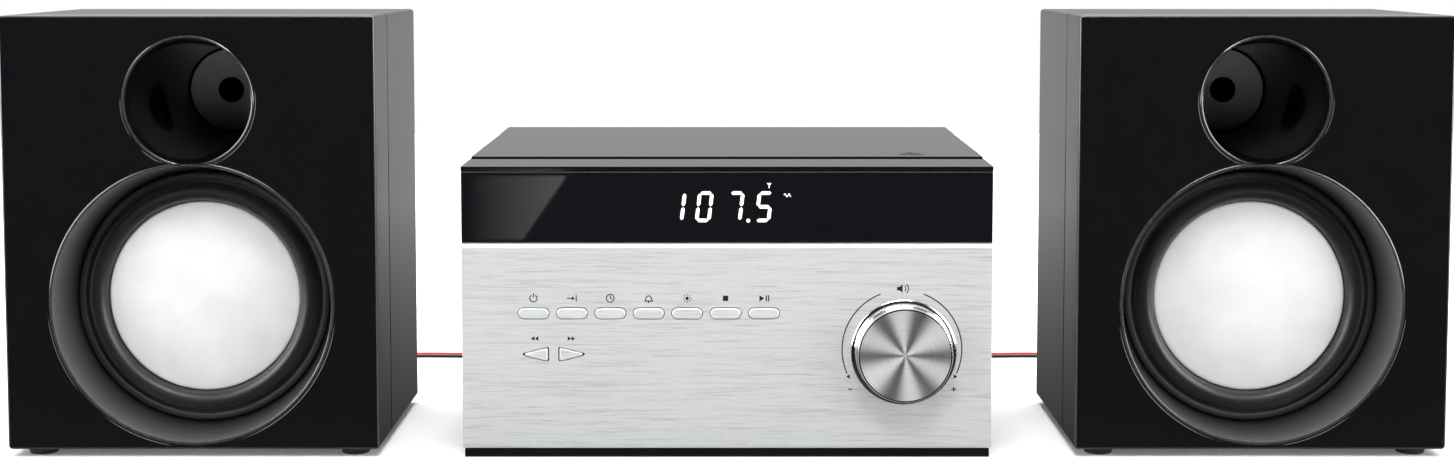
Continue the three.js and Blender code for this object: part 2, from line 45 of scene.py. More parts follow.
# view, light and floor
view = {"distance": 966.0, "height": 227.0, "pitch": 4.41, "lens": 53.41, "shift": -0.075}
studio = {
    "floor": "#f7f7f6", "floorGlow": 0.12, "air": 1.0, "horizon": 0.45, "overhead": 0.6, "frontAir": 0.02,
    "knobGleam": 9.0, "floorGleam": 0.5, "windowGleam": 1.6,
}
softboxes = {  # place, aim, width and height in metres, then power in watts
    "key_softbox": ((0.0, -0.95, 1.15), (0, -0.1, 0.1), 0.7, 0.4, 15.0),
    "left_softbox": ((-1.55, -1.15, 0.65), (0, -0.1, 0.1), 1.1, 1.2, 17.0),
    "right_softbox": ((1.55, -1.15, 0.65), (0, -0.1, 0.1), 1.1, 1.2, 17.0),
    "top_softbox": ((0.0, 1.15, 2.2), (0, 1.1, 0), 3.6, 2.9, 150.0),
}


def linearColour(hexText, alpha=1.0):
    parts = [int(hexText[i:i + 2], 16) / 255 for i in (1, 3, 5)]
    return [c / 12.92 if c <= 0.04045 else ((c + 0.055) / 1.055) ** 2.4 for c in parts] + [alpha]


def addNode(tree, kind, inputs=None, links=None, **settings):
    # one node with its settings, its fixed inputs and what feeds it
    node = tree.nodes.new(kind)
    for key, value in settings.items():
        setattr(node, key, value)
    for key, value in (inputs or {}).items():
        node.inputs[key].default_value = value
    for key, (source, output) in (links or {}).items():
        tree.links.new(source.outputs[output], node.inputs[key])
    return node


scene = bpy.context.scene
scene.view_settings.view_transform = "Standard"
camera = bpy.data.objects.new("camera", bpy.data.cameras.new("camera"))
scene.collection.objects.link(camera)
camera.location = Vector((0.0, front - view["distance"], view["height"])) * mm
camera.rotation_euler = (math.radians(90 - view["pitch"]), 0, 0)
camera.data.lens = view["lens"]
camera.data.sensor_width = 36.0
camera.data.shift_y = view["shift"]
camera.data.clip_start, camera.data.clip_end = 0.01, 50
scene.camera = camera


def addSoftbox(name, place, aim, width, height, power):
    lamp = bpy.data.lights.new(name, "AREA")
    lamp.shape = "RECTANGLE"
    lamp.size, lamp.size_y, lamp.energy = width, height, power
    holder = bpy.data.objects.new(name, lamp)
    holder.location = place
    holder.rotation_euler = (Vector(aim) - Vector(place)).to_track_quat("-Z", "Y").to_euler()
    scene.collection.objects.link(holder)


for boxName, settings in softboxes.items():
    addSoftbox(boxName, *settings)

# white studio air: dim towards the front, brighter overhead, so gloss black stays black
world = bpy.data.worlds.new("studio_air")
scene.world = world
world.use_nodes = True
air = world.node_tree
air.nodes.clear()
lightPath = addNode(air, "ShaderNodeLightPath")
heading = addNode(air, "ShaderNodeTexCoord")
parts = addNode(air, "ShaderNodeSeparateXYZ", links={0: (heading, "Generated")})
lift = addNode(air, "ShaderNodeMapRange", {"To Min": studio["horizon"], "To Max": studio["overhead"]},
               {"Value": (parts, 2)})
back = addNode(air, "ShaderNodeMapRange", {"From Min": -0.75, "From Max": 0.1, "To Min": studio["frontAir"]},
               {"Value": (parts, 1)})
glow = addNode(air, "ShaderNodeMath", links={0: (lift, 0), 1: (back, 0)}, operation="MULTIPLY")
seenAir = addNode(air, "ShaderNodeBackground", {"Color": (1, 1, 1, 1), "Strength": studio["air"]})
litAir = addNode(air, "ShaderNodeBackground", {"Color": (1, 1, 1, 1)}, {"Strength": (glow, 0)})
airMix = addNode(
    air, "ShaderNodeMixShader", links={0: (lightPath, "Is Camera Ray"), 1: (litAir, 0), 2: (seenAir, 0)}
)
addNode(air, "ShaderNodeOutputWorld", links={"Surface": (airMix, 0)})


# finishes
def newFinish(name, colour, roughness, metallic=0.0, ior=1.5, **sockets):
    material = bpy.data.materials.new(name)
    material.use_nodes = True
    tree = material.node_tree
    tree.nodes.clear()
    coords = addNode(tree, "ShaderNodeTexCoord")
    fixed = {"Base Color": linearColour(colour), "Roughness": roughness, "Metallic": metallic}
    if metallic < 1.0:
        fixed["IOR"] = ior
    fixed.update(sockets)
    shader = addNode(tree, "ShaderNodeBsdfPrincipled", fixed)
    addNode(tree, "ShaderNodeOutputMaterial", links={"Surface": (shader, 0)})
    material.diffuse_color = linearColour(colour)
    return material, tree, coords, shader


def noiseAt(tree, coords, cellMm, stretch=(1, 1, 1), detail=3.0, rough=0.55):
    # a noise whose cells are cellMm across, stretched along an axis by a small factor there
    scale = [s / (cellMm * mm) for s in stretch]
    mapping = addNode(tree, "ShaderNodeMapping", {"Scale": scale}, {"Vector": (coords, "Object")})
    return addNode(tree, "ShaderNodeTexNoise", {"Scale": 1.0, "Detail": detail, "Roughness": rough},
                   {"Vector": (mapping, 0)})


def spread(tree, shader, source, low, high):
    # lets the source vary the roughness between two values
    span = addNode(tree, "ShaderNodeMapRange", {"To Min": low, "To Max": high}, {"Value": (source, 0)})
    tree.links.new(span.outputs[0], shader.inputs["Roughness"])


def tint(tree, shader, source, dark, light, low=0.35, high=0.65):
    # lets the source vary the colour between two tones
    ramp = addNode(tree, "ShaderNodeValToRGB", links={"Fac": (source, 0)})
    ramp.color_ramp.elements[0].position, ramp.color_ramp.elements[1].position = low, high
    ramp.color_ramp.elements[0].color = linearColour(dark)
    ramp.color_ramp.elements[1].color = linearColour(light)
    tree.links.new(ramp.outputs[0], shader.inputs["Base Color"])


def bump(tree, shader, source, heightMm, strength=1.0, output=0):
    relief = addNode(tree, "ShaderNodeBump", {"Strength": strength, "Distance": heightMm * mm},
                     {"Height": (source, output)})
    tree.links.new(relief.outputs[0], shader.inputs["Normal"])


def polishedAbs(name, dark, light, roughness, level, ripple=0.03):
    # black ABS from a polished mould: sharp reflections with a faint ripple and a trace of haze
    material, tree, coords, shader = newFinish(
        name, dark, roughness, ior=1.53, **{"Specular IOR Level": level}
    )
    haze = noiseAt(tree, coords, 2.2, detail=4)
    tint(tree, shader, haze, dark, light, 0.2, 0.8)
    spread(tree, shader, haze, roughness * 0.85, roughness * 1.15)
    bump(tree, shader, noiseAt(tree, coords, 14.0, detail=1), ripple, 0.2)
    return material


def texturedAbs(name, dark, light, roughness, grainMm=0.55, height=0.02):
    # ABS from a spark-eroded mould: an even fine grain that softens the highlight
    material, tree, coords, shader = newFinish(name, dark, roughness, ior=1.5)
    cloud = noiseAt(tree, coords, 18.0, detail=5)
    tint(tree, shader, cloud, dark, light)
    grain = noiseAt(tree, coords, grainMm, detail=2)
    spread(tree, shader, grain, roughness * 0.82, roughness * 1.2)
    bump(tree, shader, grain, height, 0.6)
    return material


def brushedAluminium(name, dark, light, roughness, stretch=(0.02, 1, 1), metallic=0.45):
    # anodised aluminium sheet brushed across the width: long hair lines and a broad soft sheen
    material, tree, coords, shader = newFinish(name, light, roughness, metallic)
    hair = noiseAt(tree, coords, 0.3, stretch, detail=3, rough=0.75)
    band = noiseAt(tree, coords, 0.9, tuple(k * 1.4 if k < 1 else k for k in stretch), detail=4, rough=0.7)
    both = addNode(tree, "ShaderNodeMath", links={0: (hair, 0), 1: (band, 0)}, operation="ADD")
    tint(tree, shader, both, dark, light, 0.72, 1.18)
    spread(tree, shader, hair, roughness * 0.8, roughness * 1.25)
    bump(tree, shader, hair, 0.004, 0.35)
    return material


def paintedShadeRing():
    # satin graphite ABS with painted shade: darker towards the driver, as if shade fell deep in the dish
    material, tree, coords, shader = newFinish("satin_graphite_abs", "#3d3d3d", 0.32, ior=1.53)
    parts = addNode(tree, "ShaderNodeSeparateXYZ", links={0: (coords, "Object")})
    depth = addNode(tree, "ShaderNodeMapRange", {"From Min": (front + 1) * mm, "From Max": (front + 25) * mm},
                    {"Value": (parts, 1)})
    # painted shade: pale grey at the rim fading to near black at the driver
    tint(tree, shader, depth, "#5f5f5e", "#0d0e0f", 0.0, 1.0)
    grain = noiseAt(tree, coords, 1.2, detail=3)
    spread(tree, shader, grain, 0.28, 0.38)
    bump(tree, shader, grain, 0.01, 0.3)
    return material


def spunAluminium(name, centre):
    # aluminium turned on a lathe: fine rings round the middle that throw light out in two fans
    material, tree, coords, shader = newFinish(
        name, "#dcdddf", 0.55, 1.0, **{"Anisotropic": 1.0, "Anisotropic Rotation": 0.25}
    )
    middle = addNode(
        tree, "ShaderNodeMapping", {"Location": [-c * mm for c in centre]}, {"Vector": (coords, "Object")}
    )
    parts = addNode(tree, "ShaderNodeSeparateXYZ", links={0: (middle, 0)})
    flat = addNode(tree, "ShaderNodeCombineXYZ", links={0: (parts, 0), 1: (parts, 2)})
    radius = addNode(tree, "ShaderNodeVectorMath", links={0: (flat, 0)}, operation="LENGTH")
    rings = addNode(
        tree, "ShaderNodeTexNoise", {"Scale": 1 / (0.35 * mm), "Detail": 4.0}, {"W": (radius, "Value")},
        noise_dimensions="1D",
    )
    spread(tree, shader, rings, 0.5, 0.62)
    tint(tree, shader, rings, "#c6c7c9", "#dfe0e2")
    bump(tree, shader, rings, 0.006, 0.5)
    lines = addNode(tree, "ShaderNodeTangent", direction_type="RADIAL", axis="Y")
    tree.links.new(lines.outputs[0], shader.inputs["Tangent"])
    return material


def polishedMetal(name, colour, roughness):
    # bright cut or plated metal: a clean mirror with the odd fine mark
    material, tree, coords, shader = newFinish(name, colour, roughness, 1.0)
    marks = noiseAt(tree, coords, 0.9, detail=5)
    spread(tree, shader, marks, roughness * 0.7, roughness * 1.6)
    return material


def metallicDome():
    # pressed diaphragm with a matt metallic lacquer: pale, soft, with a trace of sparkle
    material, tree, coords, shader = newFinish("lacquered_diaphragm", "#cfd0d2", 0.5, 0.3, 1.45)
    cloud = noiseAt(tree, coords, 26.0, detail=4)
    tint(tree, shader, cloud, "#c9cacc", "#d5d6d8", 0.3, 0.7)
    fleck = noiseAt(tree, coords, 0.5, detail=2)
    spread(tree, shader, fleck, 0.4, 0.55)
    bump(tree, shader, fleck, 0.01, 0.35)
    return material


def blackRubber(name, dark, light, roughness):
    # butyl rubber: matt with a weak sheen and a dusty bloom
    material, tree, coords, shader = newFinish(
        name, dark, roughness, ior=1.52, **{"Sheen Weight": 0.15, "Sheen Roughness": 0.4}
    )
    bloom = noiseAt(tree, coords, 6.0, detail=6, rough=0.65)
    tint(tree, shader, bloom, dark, light)
    bump(tree, shader, noiseAt(tree, coords, 0.6, detail=2), 0.012, 0.5)
    return material


def flexSheath(name, dark, light):
    # soft PVC sheath: waxy gloss, slightly uneven where it was drawn
    material, tree, coords, shader = newFinish(name, dark, 0.36, ior=1.52)
    cloud = noiseAt(tree, coords, 7.0, detail=3)
    tint(tree, shader, cloud, dark, light)
    bump(tree, shader, noiseAt(tree, coords, 1.1, detail=2), 0.02, 0.4)
    return material


def printInk(name, colour, roughness=0.5):
    # screen print on metal: flat ink with a slightly broken cover
    material, tree, coords, shader = newFinish(name, colour, roughness, ior=1.48)
    grain = noiseAt(tree, coords, 0.25, detail=2)
    spread(tree, shader, grain, roughness * 0.85, roughness * 1.2)
    shader.inputs["Specular IOR Level"].default_value = 0.15
    return material


def circuitBoard():
    # glass-fibre board under green solder mask: tracks show as lighter lines
    material, tree, coords, shader = newFinish("solder_masked_board", "#17402a", 0.35, ior=1.5)
    mapping = addNode(
        tree, "ShaderNodeMapping", {"Scale": [1 / (7 * mm)] * 3}, {"Vector": (coords, "Object")}
    )
    tracks = addNode(
        tree, "ShaderNodeTexBrick",
        {"Scale": 1.0, "Mortar Size": 0.06, "Color1": linearColour("#17402a"),
         "Color2": linearColour("#1a4a30"), "Mortar": linearColour("#2b6b45")},
        {"Vector": (mapping, 0)},
    )
    tree.links.new(tracks.outputs["Color"], shader.inputs["Base Color"])
    bump(tree, shader, tracks, 0.03, 0.4, "Fac")
    return material


def litSegment():
    # display segment: white light under smoked acrylic
    material, tree, coords, shader = newFinish(
        "lit_segment", "#dfe3e6", 0.3, ior=1.45,
        **{"Emission Color": linearColour("#f3f6f8"), "Emission Strength": 0.85},
    )
    glow = noiseAt(tree, coords, 2.5, detail=1)
    tint(tree, shader, glow, "#d6dadd", "#eceff1")
    return material


def smokedAcrylic():
    # display window: deep black acrylic with a hard polish and a faint edge haze
    return polishedAbs("smoked_acrylic", "#0c0d0f", "#0e0f11", 0.03, 0.5, 0.0)


knobAt = (79.8, 0, 49.0)
finishes = {}
finishes["glossBlack"] = polishedAbs("polished_black_abs", "#0b0c0d", "#0e0f11", 0.08, 0.42)
finishes["ringBlack"] = paintedShadeRing()
# lighter black for the baffle's outer front edges: a painted highlight where the rounded edge catches light
finishes["edge"] = polishedAbs("burnished_corner", "#33353a", "#3b3d41", 0.2, 0.8)
# lighter black for the mouth rims: a painted highlight line round each rim
finishes["lip"] = polishedAbs("burnished_edge", "#26282a", "#303234", 0.14, 0.8)
finishes["casing"] = polishedAbs("painted_abs_casing", "#131416", "#17181a", 0.13, 0.52)
finishes["satinBlack"] = texturedAbs("textured_black_abs", "#141517", "#1c1d1f", 0.5)
finishes["deckBlack"] = texturedAbs("textured_black_deck", "#1a1b1d", "#232426", 0.42, 0.7)
finishes["horn"] = texturedAbs("textured_grey_abs", "#9a9b9c", "#a7a8a9", 0.45, 0.5)
finishes["whiteAcetal"] = texturedAbs("moulded_white_acetal", "#dcdcd6", "#e8e8e3", 0.38, 0.6, 0.01)
finishes["redAbs"] = texturedAbs("moulded_red_abs", "#a5161b", "#bb2227", 0.35, 0.6, 0.01)
finishes["brushed"] = brushedAluminium("brushed_aluminium", "#acadae", "#cbcccd", 0.36)
finishes["keySilver"] = brushedAluminium("brushed_aluminium_keys", "#b9bbbd", "#d2d4d6", 0.33)
finishes["spun"] = spunAluminium("spun_aluminium", knobAt)
finishes["chamfer"] = brushedAluminium("cut_aluminium_edge", "#d4d6d8", "#dcdee0", 0.3, (0.05, 1, 1), 0.35)
finishes["brightCut"] = polishedMetal("diamond_cut_aluminium", "#e6e7e9", 0.12)
finishes["zinc"] = polishedMetal("zinc_plated_steel", "#a9abad", 0.34)
finishes["dome"] = metallicDome()
finishes["rubber"] = blackRubber("butyl_rubber", "#1c1d1e", "#26282a", 0.55)
finishes["footRubber"] = blackRubber("moulded_foot_rubber", "#121313", "#1b1c1d", 0.6)
finishes["rollRubber"] = blackRubber("surround_rubber", "#101112", "#17181a", 0.42)
finishes["redSheath"] = flexSheath("red_pvc_sheath", "#cf2630", "#e0353e")
finishes["blackSheath"] = flexSheath("black_pvc_sheath", "#151516", "#1e1f20")
finishes["ink"] = printInk("dark_screen_print", "#17181a")
finishes["board"] = circuitBoard()
finishes["lit"] = litSegment()
finishes["window"] = smokedAcrylic()
print("finishes made:", len(finishes))


# shape helpers: all sizes in mm, turned to metres when the mesh is made
def workHolder(name, mesh):
    holder = bpy.data.objects.new("work_" + name, mesh)
    scene.collection.objects.link(holder)
    return holder


def applied(holder):
    # the mesh after its modifiers, with the working object gone
    result = bpy.data.meshes.new_from_object(holder.evaluated_get(bpy.context.evaluated_depsgraph_get()))
    bpy.data.objects.remove(holder)
    return result


def evenNormals(mesh, sharp):
    # smooth shading whose large flat faces stay flat beside their rounded edges
    mesh.shade_smooth()
    mesh.set_sharp_from_angle(angle=math.radians(sharp))
    holder = workHolder(mesh.name, mesh)
    weigh = holder.modifiers.new("flat_faces", "WEIGHTED_NORMAL")
    weigh.keep_sharp, weigh.weight = True, 60
    return applied(holder)


def settle(name, mesh, materials, body, nodes=(), sharp=32):
    # names a finished mesh, gives it its finishes and lets it ride
    mesh = evenNormals(mesh, sharp)
    mesh.name = name
    for material in materials:
        mesh.materials.append(material)
    piece = bpy.data.objects.new(name, mesh)
    scene.collection.objects.link(piece)
    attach(piece, body)
    if nodes:
        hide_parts(*nodes)
    return piece


def meshFrom(name, points, faces, picks=None):
    # picks: (index, test on a face's centre in mm) pairs that choose a finish
    mesh = bpy.data.meshes.new(name)
    mesh.from_pydata([Vector(p) * mm for p in points], [], faces)
    work = bmesh.new()
    work.from_mesh(mesh)
    bmesh.ops.remove_doubles(work, verts=work.verts, dist=1e-7)
    bmesh.ops.dissolve_degenerate(work, dist=1e-8, edges=work.edges)
    bmesh.ops.recalc_face_normals(work, faces=work.faces)
    for index, test in picks or ():
        for face in work.faces:
            if test(face.calc_center_median() / mm):
                face.material_index = index
    work.to_mesh(mesh)
    work.free()
    return mesh


def plainMesh(name, points, faces):
    # a mesh with its faces outward and in the order given
    mesh = bpy.data.meshes.new(name)
    mesh.from_pydata([Vector(p) * mm for p in points], [], faces)
    work = bmesh.new()
    work.from_mesh(mesh)
    bmesh.ops.recalc_face_normals(work, faces=work.faces)
    work.to_mesh(mesh)
    work.free()
    return mesh


def turned(profile, axisPoint, axis="Y", steps=96):
    # a closed (radius, station) profile turned about a line through axisPoint
    cx, cy = axisPoint
    points, faces, rows = [], [], len(profile)
    for i in range(steps):
        angle = 2 * math.pi * i / steps
        for radius, station in profile:
            u, v = cx + radius * math.cos(angle), cy + radius * math.sin(angle)
            points.append((u, station, v) if axis == "Y" else (u, v, station))
    for i in range(steps):
        a, b = i * rows, ((i + 1) % steps) * rows
        for j in range(rows):
            k = (j + 1) % rows
            if profile[j][0] == 0 and profile[k][0] == 0:
                continue
            faces.append((a + j, b + j, b + k, a + k))
    return points, faces


def roundedLoop(cx, cz, width, height, radius, steps=6):
    points = []
    for sx, sz, start in ((1, 1, 0), (-1, 1, 90), (-1, -1, 180), (1, -1, 270)):
        for i in range(steps + 1):
            angle = math.radians(start + 90 * i / steps)
            points.append((
                cx + sx * (width / 2 - radius) + radius * math.cos(angle),
                cz + sz * (height / 2 - radius) + radius * math.sin(angle),
            ))
    return points


def skin(loops, closeStart=False, closeEnd=False):
    # quads between loops of the same length, with flat ends where asked
    count = len(loops[0])
    points = [p for loop in loops for p in loop]
    faces = []
    for row in range(len(loops) - 1):
        for i in range(count):
            j = (i + 1) % count
            a, b = row * count, (row + 1) * count
            faces.append((a + i, a + j, b + j, b + i))
    if closeStart:
        faces.append(tuple(range(count)))
    if closeEnd:
        faces.append(tuple(range((len(loops) - 1) * count, len(loops) * count)))
    return points, faces


def joined(*parts):
    points, faces = [], []
    for somePoints, someFaces in parts:
        base = len(points)
        points += list(somePoints)
        faces += [tuple(base + i for i in face) for face in someFaces]
    return points, faces


def filled(loops):
    # the flat region between an outer loop and the loops inside it
    work = bmesh.new()
    for loop in loops:
        verts = [work.verts.new(p) for p in loop]
        for i, vert in enumerate(verts):
            work.edges.new((vert, verts[(i + 1) % len(verts)]))
    bmesh.ops.triangle_fill(work, use_beauty=True, use_dissolve=False, edges=work.edges)
    work.verts.index_update()
    points = [tuple(v.co) for v in work.verts]
    faces = [tuple(v.index for v in face.verts) for face in work.faces]
    work.free()
    return points, faces


def atY(loop, y):
    return [(x, y, z) for x, z in loop]


def atZ(loop, z):
    return [(x, y, z) for x, y in loop]


def softened(node, radius, segments=2, angle=28):
    # a merged copy of a CAD node with its edges rounded
    mesh = bpy.data.objects[node].data.copy()
    mesh.materials.clear()
    work = bmesh.new()
    work.from_mesh(mesh)
    bmesh.ops.remove_doubles(work, verts=work.verts, dist=1e-6)
    bmesh.ops.dissolve_limit(
        work, angle_limit=math.radians(1), verts=work.verts, edges=work.edges, delimit={"NORMAL"}
    )
    work.to_mesh(mesh)
    work.free()
    holder = workHolder(node, mesh)
    edgeRound = holder.modifiers.new("edge_round", "BEVEL")
    edgeRound.width, edgeRound.segments = radius * mm, segments
    edgeRound.limit_method, edgeRound.angle_limit = "ANGLE", math.radians(angle)
    edgeRound.use_clamp_overlap = True
    return applied(holder)


def paintFaces(mesh, picks):
    for index, test in picks:
        for face in mesh.polygons:
            if test(face.center / mm):
                face.material_index = index


def catmullRom(points, stepMm):
    # centripetal curve through the points, resampled evenly
    pts = [Vector(p) for p in points]
    pts = [pts[0] * 2 - pts[1]] + pts + [pts[-1] * 2 - pts[-2]]
    fine = []
    for a, b, c, d in zip(pts, pts[1:], pts[2:], pts[3:]):
        times = [0.0]
        for p, q in ((a, b), (b, c), (c, d)):
            times.append(times[-1] + max((q - p).length, 1e-6) ** 0.5)
        for i in range(24):
            t = times[1] + (times[2] - times[1]) * i / 24

            def mixed(p, q, t0, t1):
                return p * ((t1 - t) / (t1 - t0)) + q * ((t - t0) / (t1 - t0))

            ab, bc, cd = (mixed(a, b, times[0], times[1]), mixed(b, c, times[1], times[2]),
                          mixed(c, d, times[2], times[3]))
            fine.append(mixed(mixed(ab, bc, times[0], times[2]), mixed(bc, cd, times[1], times[3]),
                              times[1], times[2]))
    fine.append(pts[-2])
    return evenly(fine, stepMm)


def evenly(line, stepMm):
    lengths = [0.0]
    for p, q in zip(line, line[1:]):
        lengths.append(lengths[-1] + (q - p).length)
    count = max(2, round(lengths[-1] / stepMm))
    result, k = [], 0
    for i in range(count + 1):
        want = lengths[-1] * i / count
        while k < len(line) - 2 and lengths[k + 1] < want:
            k += 1
        share = (want - lengths[k]) / max(lengths[k + 1] - lengths[k], 1e-9)
        result.append(line[k].lerp(line[k + 1], share))
    return result


# speaker leads
lead = {
    "coreR": 0.85, "lie": 1.75, "y": 141.0, "coilX": 62.0, "coilY": 165.1, "coilR": 19.0,
    "gland": (242.2, 19.0, 60.0), "length": 1.18, "tilt": 38.0, "gapStart": 95.0, "gapEnd": 205.0,
    "gapFade": 25.0, "coreEndR": 0.82, "sink": 0.9,
    "turns": [(5.1, 1.75), (1.7, 1.75), (-1.7, 1.75), (-5.1, 1.75), (-3.4, 4.7), (0.0, 4.7), (3.4, 4.7)],
}


def smooth(t):
    t = min(1.0, max(0.0, t))
    return t * t * (3 - 2 * t)


def leadRoute(sign):
    gx, gy, gz = lead["gland"]
    lie, y, cx = lead["lie"], lead["y"], lead["coilX"]
    run = catmullRom([
        (sign * gx, gy + 3, gz), (sign * gx, gy + 20, gz - 1), (sign * (gx - 2), gy + 38, gz - 14),
        (sign * (gx - 8), gy + 62, 21), (sign * (gx - 22), gy + 92, lie + 1.5),
        (sign * (gx - 40), gy + 113, lie), (sign * (gx - 60), y, lie), (sign * (gx - 100), y, lie),
        (sign * (cx + 13.5), y, lie), (sign * cx, y, lie),
    ], 1.5)
    coil = []
    turns = lead["turns"]
    for i, (offset, height) in enumerate(turns):
        after, afterHeight = turns[min(i + 1, len(turns) - 1)]
        for k in range(1, 73):
            share = smooth((k / 72 - 0.55) / 0.45)
            radius = lead["coilR"] + offset + (after - offset) * share
            angle = math.radians(-90 + 360 * k / 72)
            coil.append(Vector((
                sign * (cx - radius * math.cos(angle)), lead["coilY"] + radius * math.sin(angle),
                height + (afterHeight - height) * share,
            )))
    last = coil[-1]
    tail = catmullRom([
        tuple(coil[-3]), tuple(last), (sign * (cx - 7), y + 1.7, 5.6), (sign * (cx - 15), y + 1.2, 8.6),
        (sign * (cx - 28), y - 1, 15.3), (sign * 24, y - 3, 25), (sign * 18.5, y - 7, 36),
        (sign * 18, 127.0, 40.3),
    ], 1.5)
    return evenly(run + coil, 1.5) + tail[3:]


def flexTube(name, path, sign):
    # figure-of-eight section: red core behind, black core in front, tipped where the lead crosses the gap
    r = lead["coreR"]
    ring = [(r + r * math.cos(a), r * math.sin(a)) for a in [math.radians(d) for d in range(-150, 151, 30)]]
    section = ring + [(-u, -v) for u, v in ring]
    points, faces, count = [], [], len(section)
    for i, p in enumerate(path):
        ahead = (path[min(i + 1, len(path) - 1)] - path[max(i - 1, 0)]).normalized()
        side = ahead.cross(Vector((0, 0, 1))).normalized()
        if sign > 0:
            side = -side
        lift = side.cross(ahead).normalized()
        if lift.z < 0:
            lift = -lift
        reach, fade = abs(p.x), lead["gapFade"]
        inGap = smooth((reach - lead["gapStart"]) / fade) * smooth((lead["gapEnd"] - reach) / fade)
        tip = math.radians(lead["tilt"]) * inGap
        wide = side * -math.cos(tip) + lift * math.sin(tip)
        tall = lift * math.cos(tip) + side * math.sin(tip)
        # keeps the lower core on the surface wherever the lead lies flat
        rise = r * math.sin(tip) - (lead["sink"] if p.z < 1.9 else 0)
        for u, v in section:
            points.append(tuple(p + wide * u + tall * v + Vector((0, 0, rise))))
    for i in range(len(path) - 1):
        a, b = i * count, (i + 1) * count
        for j in range(count):
            k = (j + 1) % count
            faces.append((a + j, a + k, b + k, b + j))
    faces.append(tuple(range(count)))
    faces.append(tuple(range((len(path) - 1) * count, len(path) * count)))
    mesh = plainMesh(name, points, faces)
    for index, face in enumerate(mesh.polygons):
        face.material_index = 0 if index % count < count // 2 else 1
    return mesh


def coreTube(path, radius):
    loops = []
    for i, p in enumerate(path):
        ahead = (path[min(i + 1, len(path) - 1)] - path[max(i - 1, 0)]).normalized()
        side = ahead.cross(Vector((0, 0, 1))).normalized()
        lift = side.cross(ahead)
        loops.append([
            tuple(p + side * radius * math.cos(a) + lift * radius * math.sin(a))
            for a in [2 * math.pi * k / 14 for k in range(14)]
        ])
    return skin(loops, True, True)


def pathLength(path):
    return sum((q - p).length for p, q in zip(path, path[1:]))


for sideName, sign in sides:
    path = leadRoute(sign)
    flex = settle(
        f"{sideName}_lead", flexTube(f"{sideName}_lead", path, sign),
        [finishes["redSheath"], finishes["blackSheath"]], "chassis",
        [f"{sideName}_lead_run", f"{sideName}_lead_coil", f"{sideName}_lead_tail"], 50,
    )
    # the two cores part and go into their clips
    end = path[-1]
    for x, lean, label in ((12, -0.85, "red"), (24, 0.85, "black")):
        core = catmullRom([
            (sign * (18 + lean), end.y + 1.5, end.z), (sign * (18 + lean * 1.6), end.y - 1, end.z + 0.2),
            (sign * (x + (18 - x) * 0.25), 122.6, 41.0), (sign * x, 119.6, 41.0), (sign * x, 117.0, 41.0),
        ], 0.8)
        name = f"{sideName}_lead_core_{label}"
        settle(name, meshFrom(name, *coreTube(core, lead["coreEndR"])), [finishes[label + "Sheath"]],
               "chassis", (), 50)
    flex.visible_glossy = False  # keeps a bright line of lead out of the polished sides
    # tie round the bundle at the back of the coil
    tieX = sign * lead["coilX"]
    tieLoops = []
    for inset, y in ((0.0, -2.2), (-0.35, -1.8), (-0.35, 1.8), (0.0, 2.2), (0.5, 1.8), (0.5, -1.8),
                     (0.0, -2.2)):
        loop = roundedLoop(
            lead["coilY"] + lead["coilR"], 3.4, 14.4 - 2 * inset, 6.0 - 1.4 * inset, 2.6 - inset, 5
        )
        tieLoops.append([(tieX + y, u, v + 0.05) for u, v in loop])
    tieMesh = meshFrom(f"{sideName}_lead_tie", *skin(tieLoops))
    tie = settle(f"{sideName}_lead_tie", tieMesh, [finishes["rubber"]], "chassis", (), 50)
    lead[sideName + "Length"] = pathLength(path) * mm
print("leads made:", round(lead["leftLength"], 3), "m each")

# loudspeakers
speaker = {"x": 242.2, "half": 84.25, "low": 3.7, "high": 200.7, "moulding": -68.0, "rear": 19.0}
horn = {"z": 162.2, "rim": 29.8, "hole": 6.0}
woofer = {"z": 70.0, "rim": 64.6}
spkWide, spkTall = 2 * speaker["half"], speaker["high"] - speaker["low"]
spkMid = (speaker["high"] + speaker["low"]) / 2


def figureEight(x, grow):
    # outline of the horn mouth and the woofer mouth run together
    rh, rw = horn["rim"] + grow, woofer["rim"] + grow
    gap = horn["z"] - woofer["z"]
    rise = (gap * gap + rw * rw - rh * rh) / (2 * gap)
    half = math.sqrt(rw * rw - rise * rise)
    points = []
    start, end = math.atan2(rise, half), math.atan2(rise, -half) - 2 * math.pi
    for i in range(129):
        a = start + (end - start) * i / 128
        points.append((x + rw * math.cos(a), woofer["z"] + rw * math.sin(a)))
    lift = rise - gap
    start, end = math.atan2(lift, -half), math.atan2(lift, half)
    start = start if start > 0 else start + 2 * math.pi
    for i in range(1, 64):
        a = start + (end - start) * i / 64
        points.append((x + rh * math.cos(a), horn["z"] + rh * math.sin(a)))
    return points


def boxLoop(x, inset, radius, y):
    # outline of a loudspeaker's box, moved in by inset
    return atY(roundedLoop(x, spkMid, spkWide - 2 * inset, spkTall - 2 * inset, radius), y)


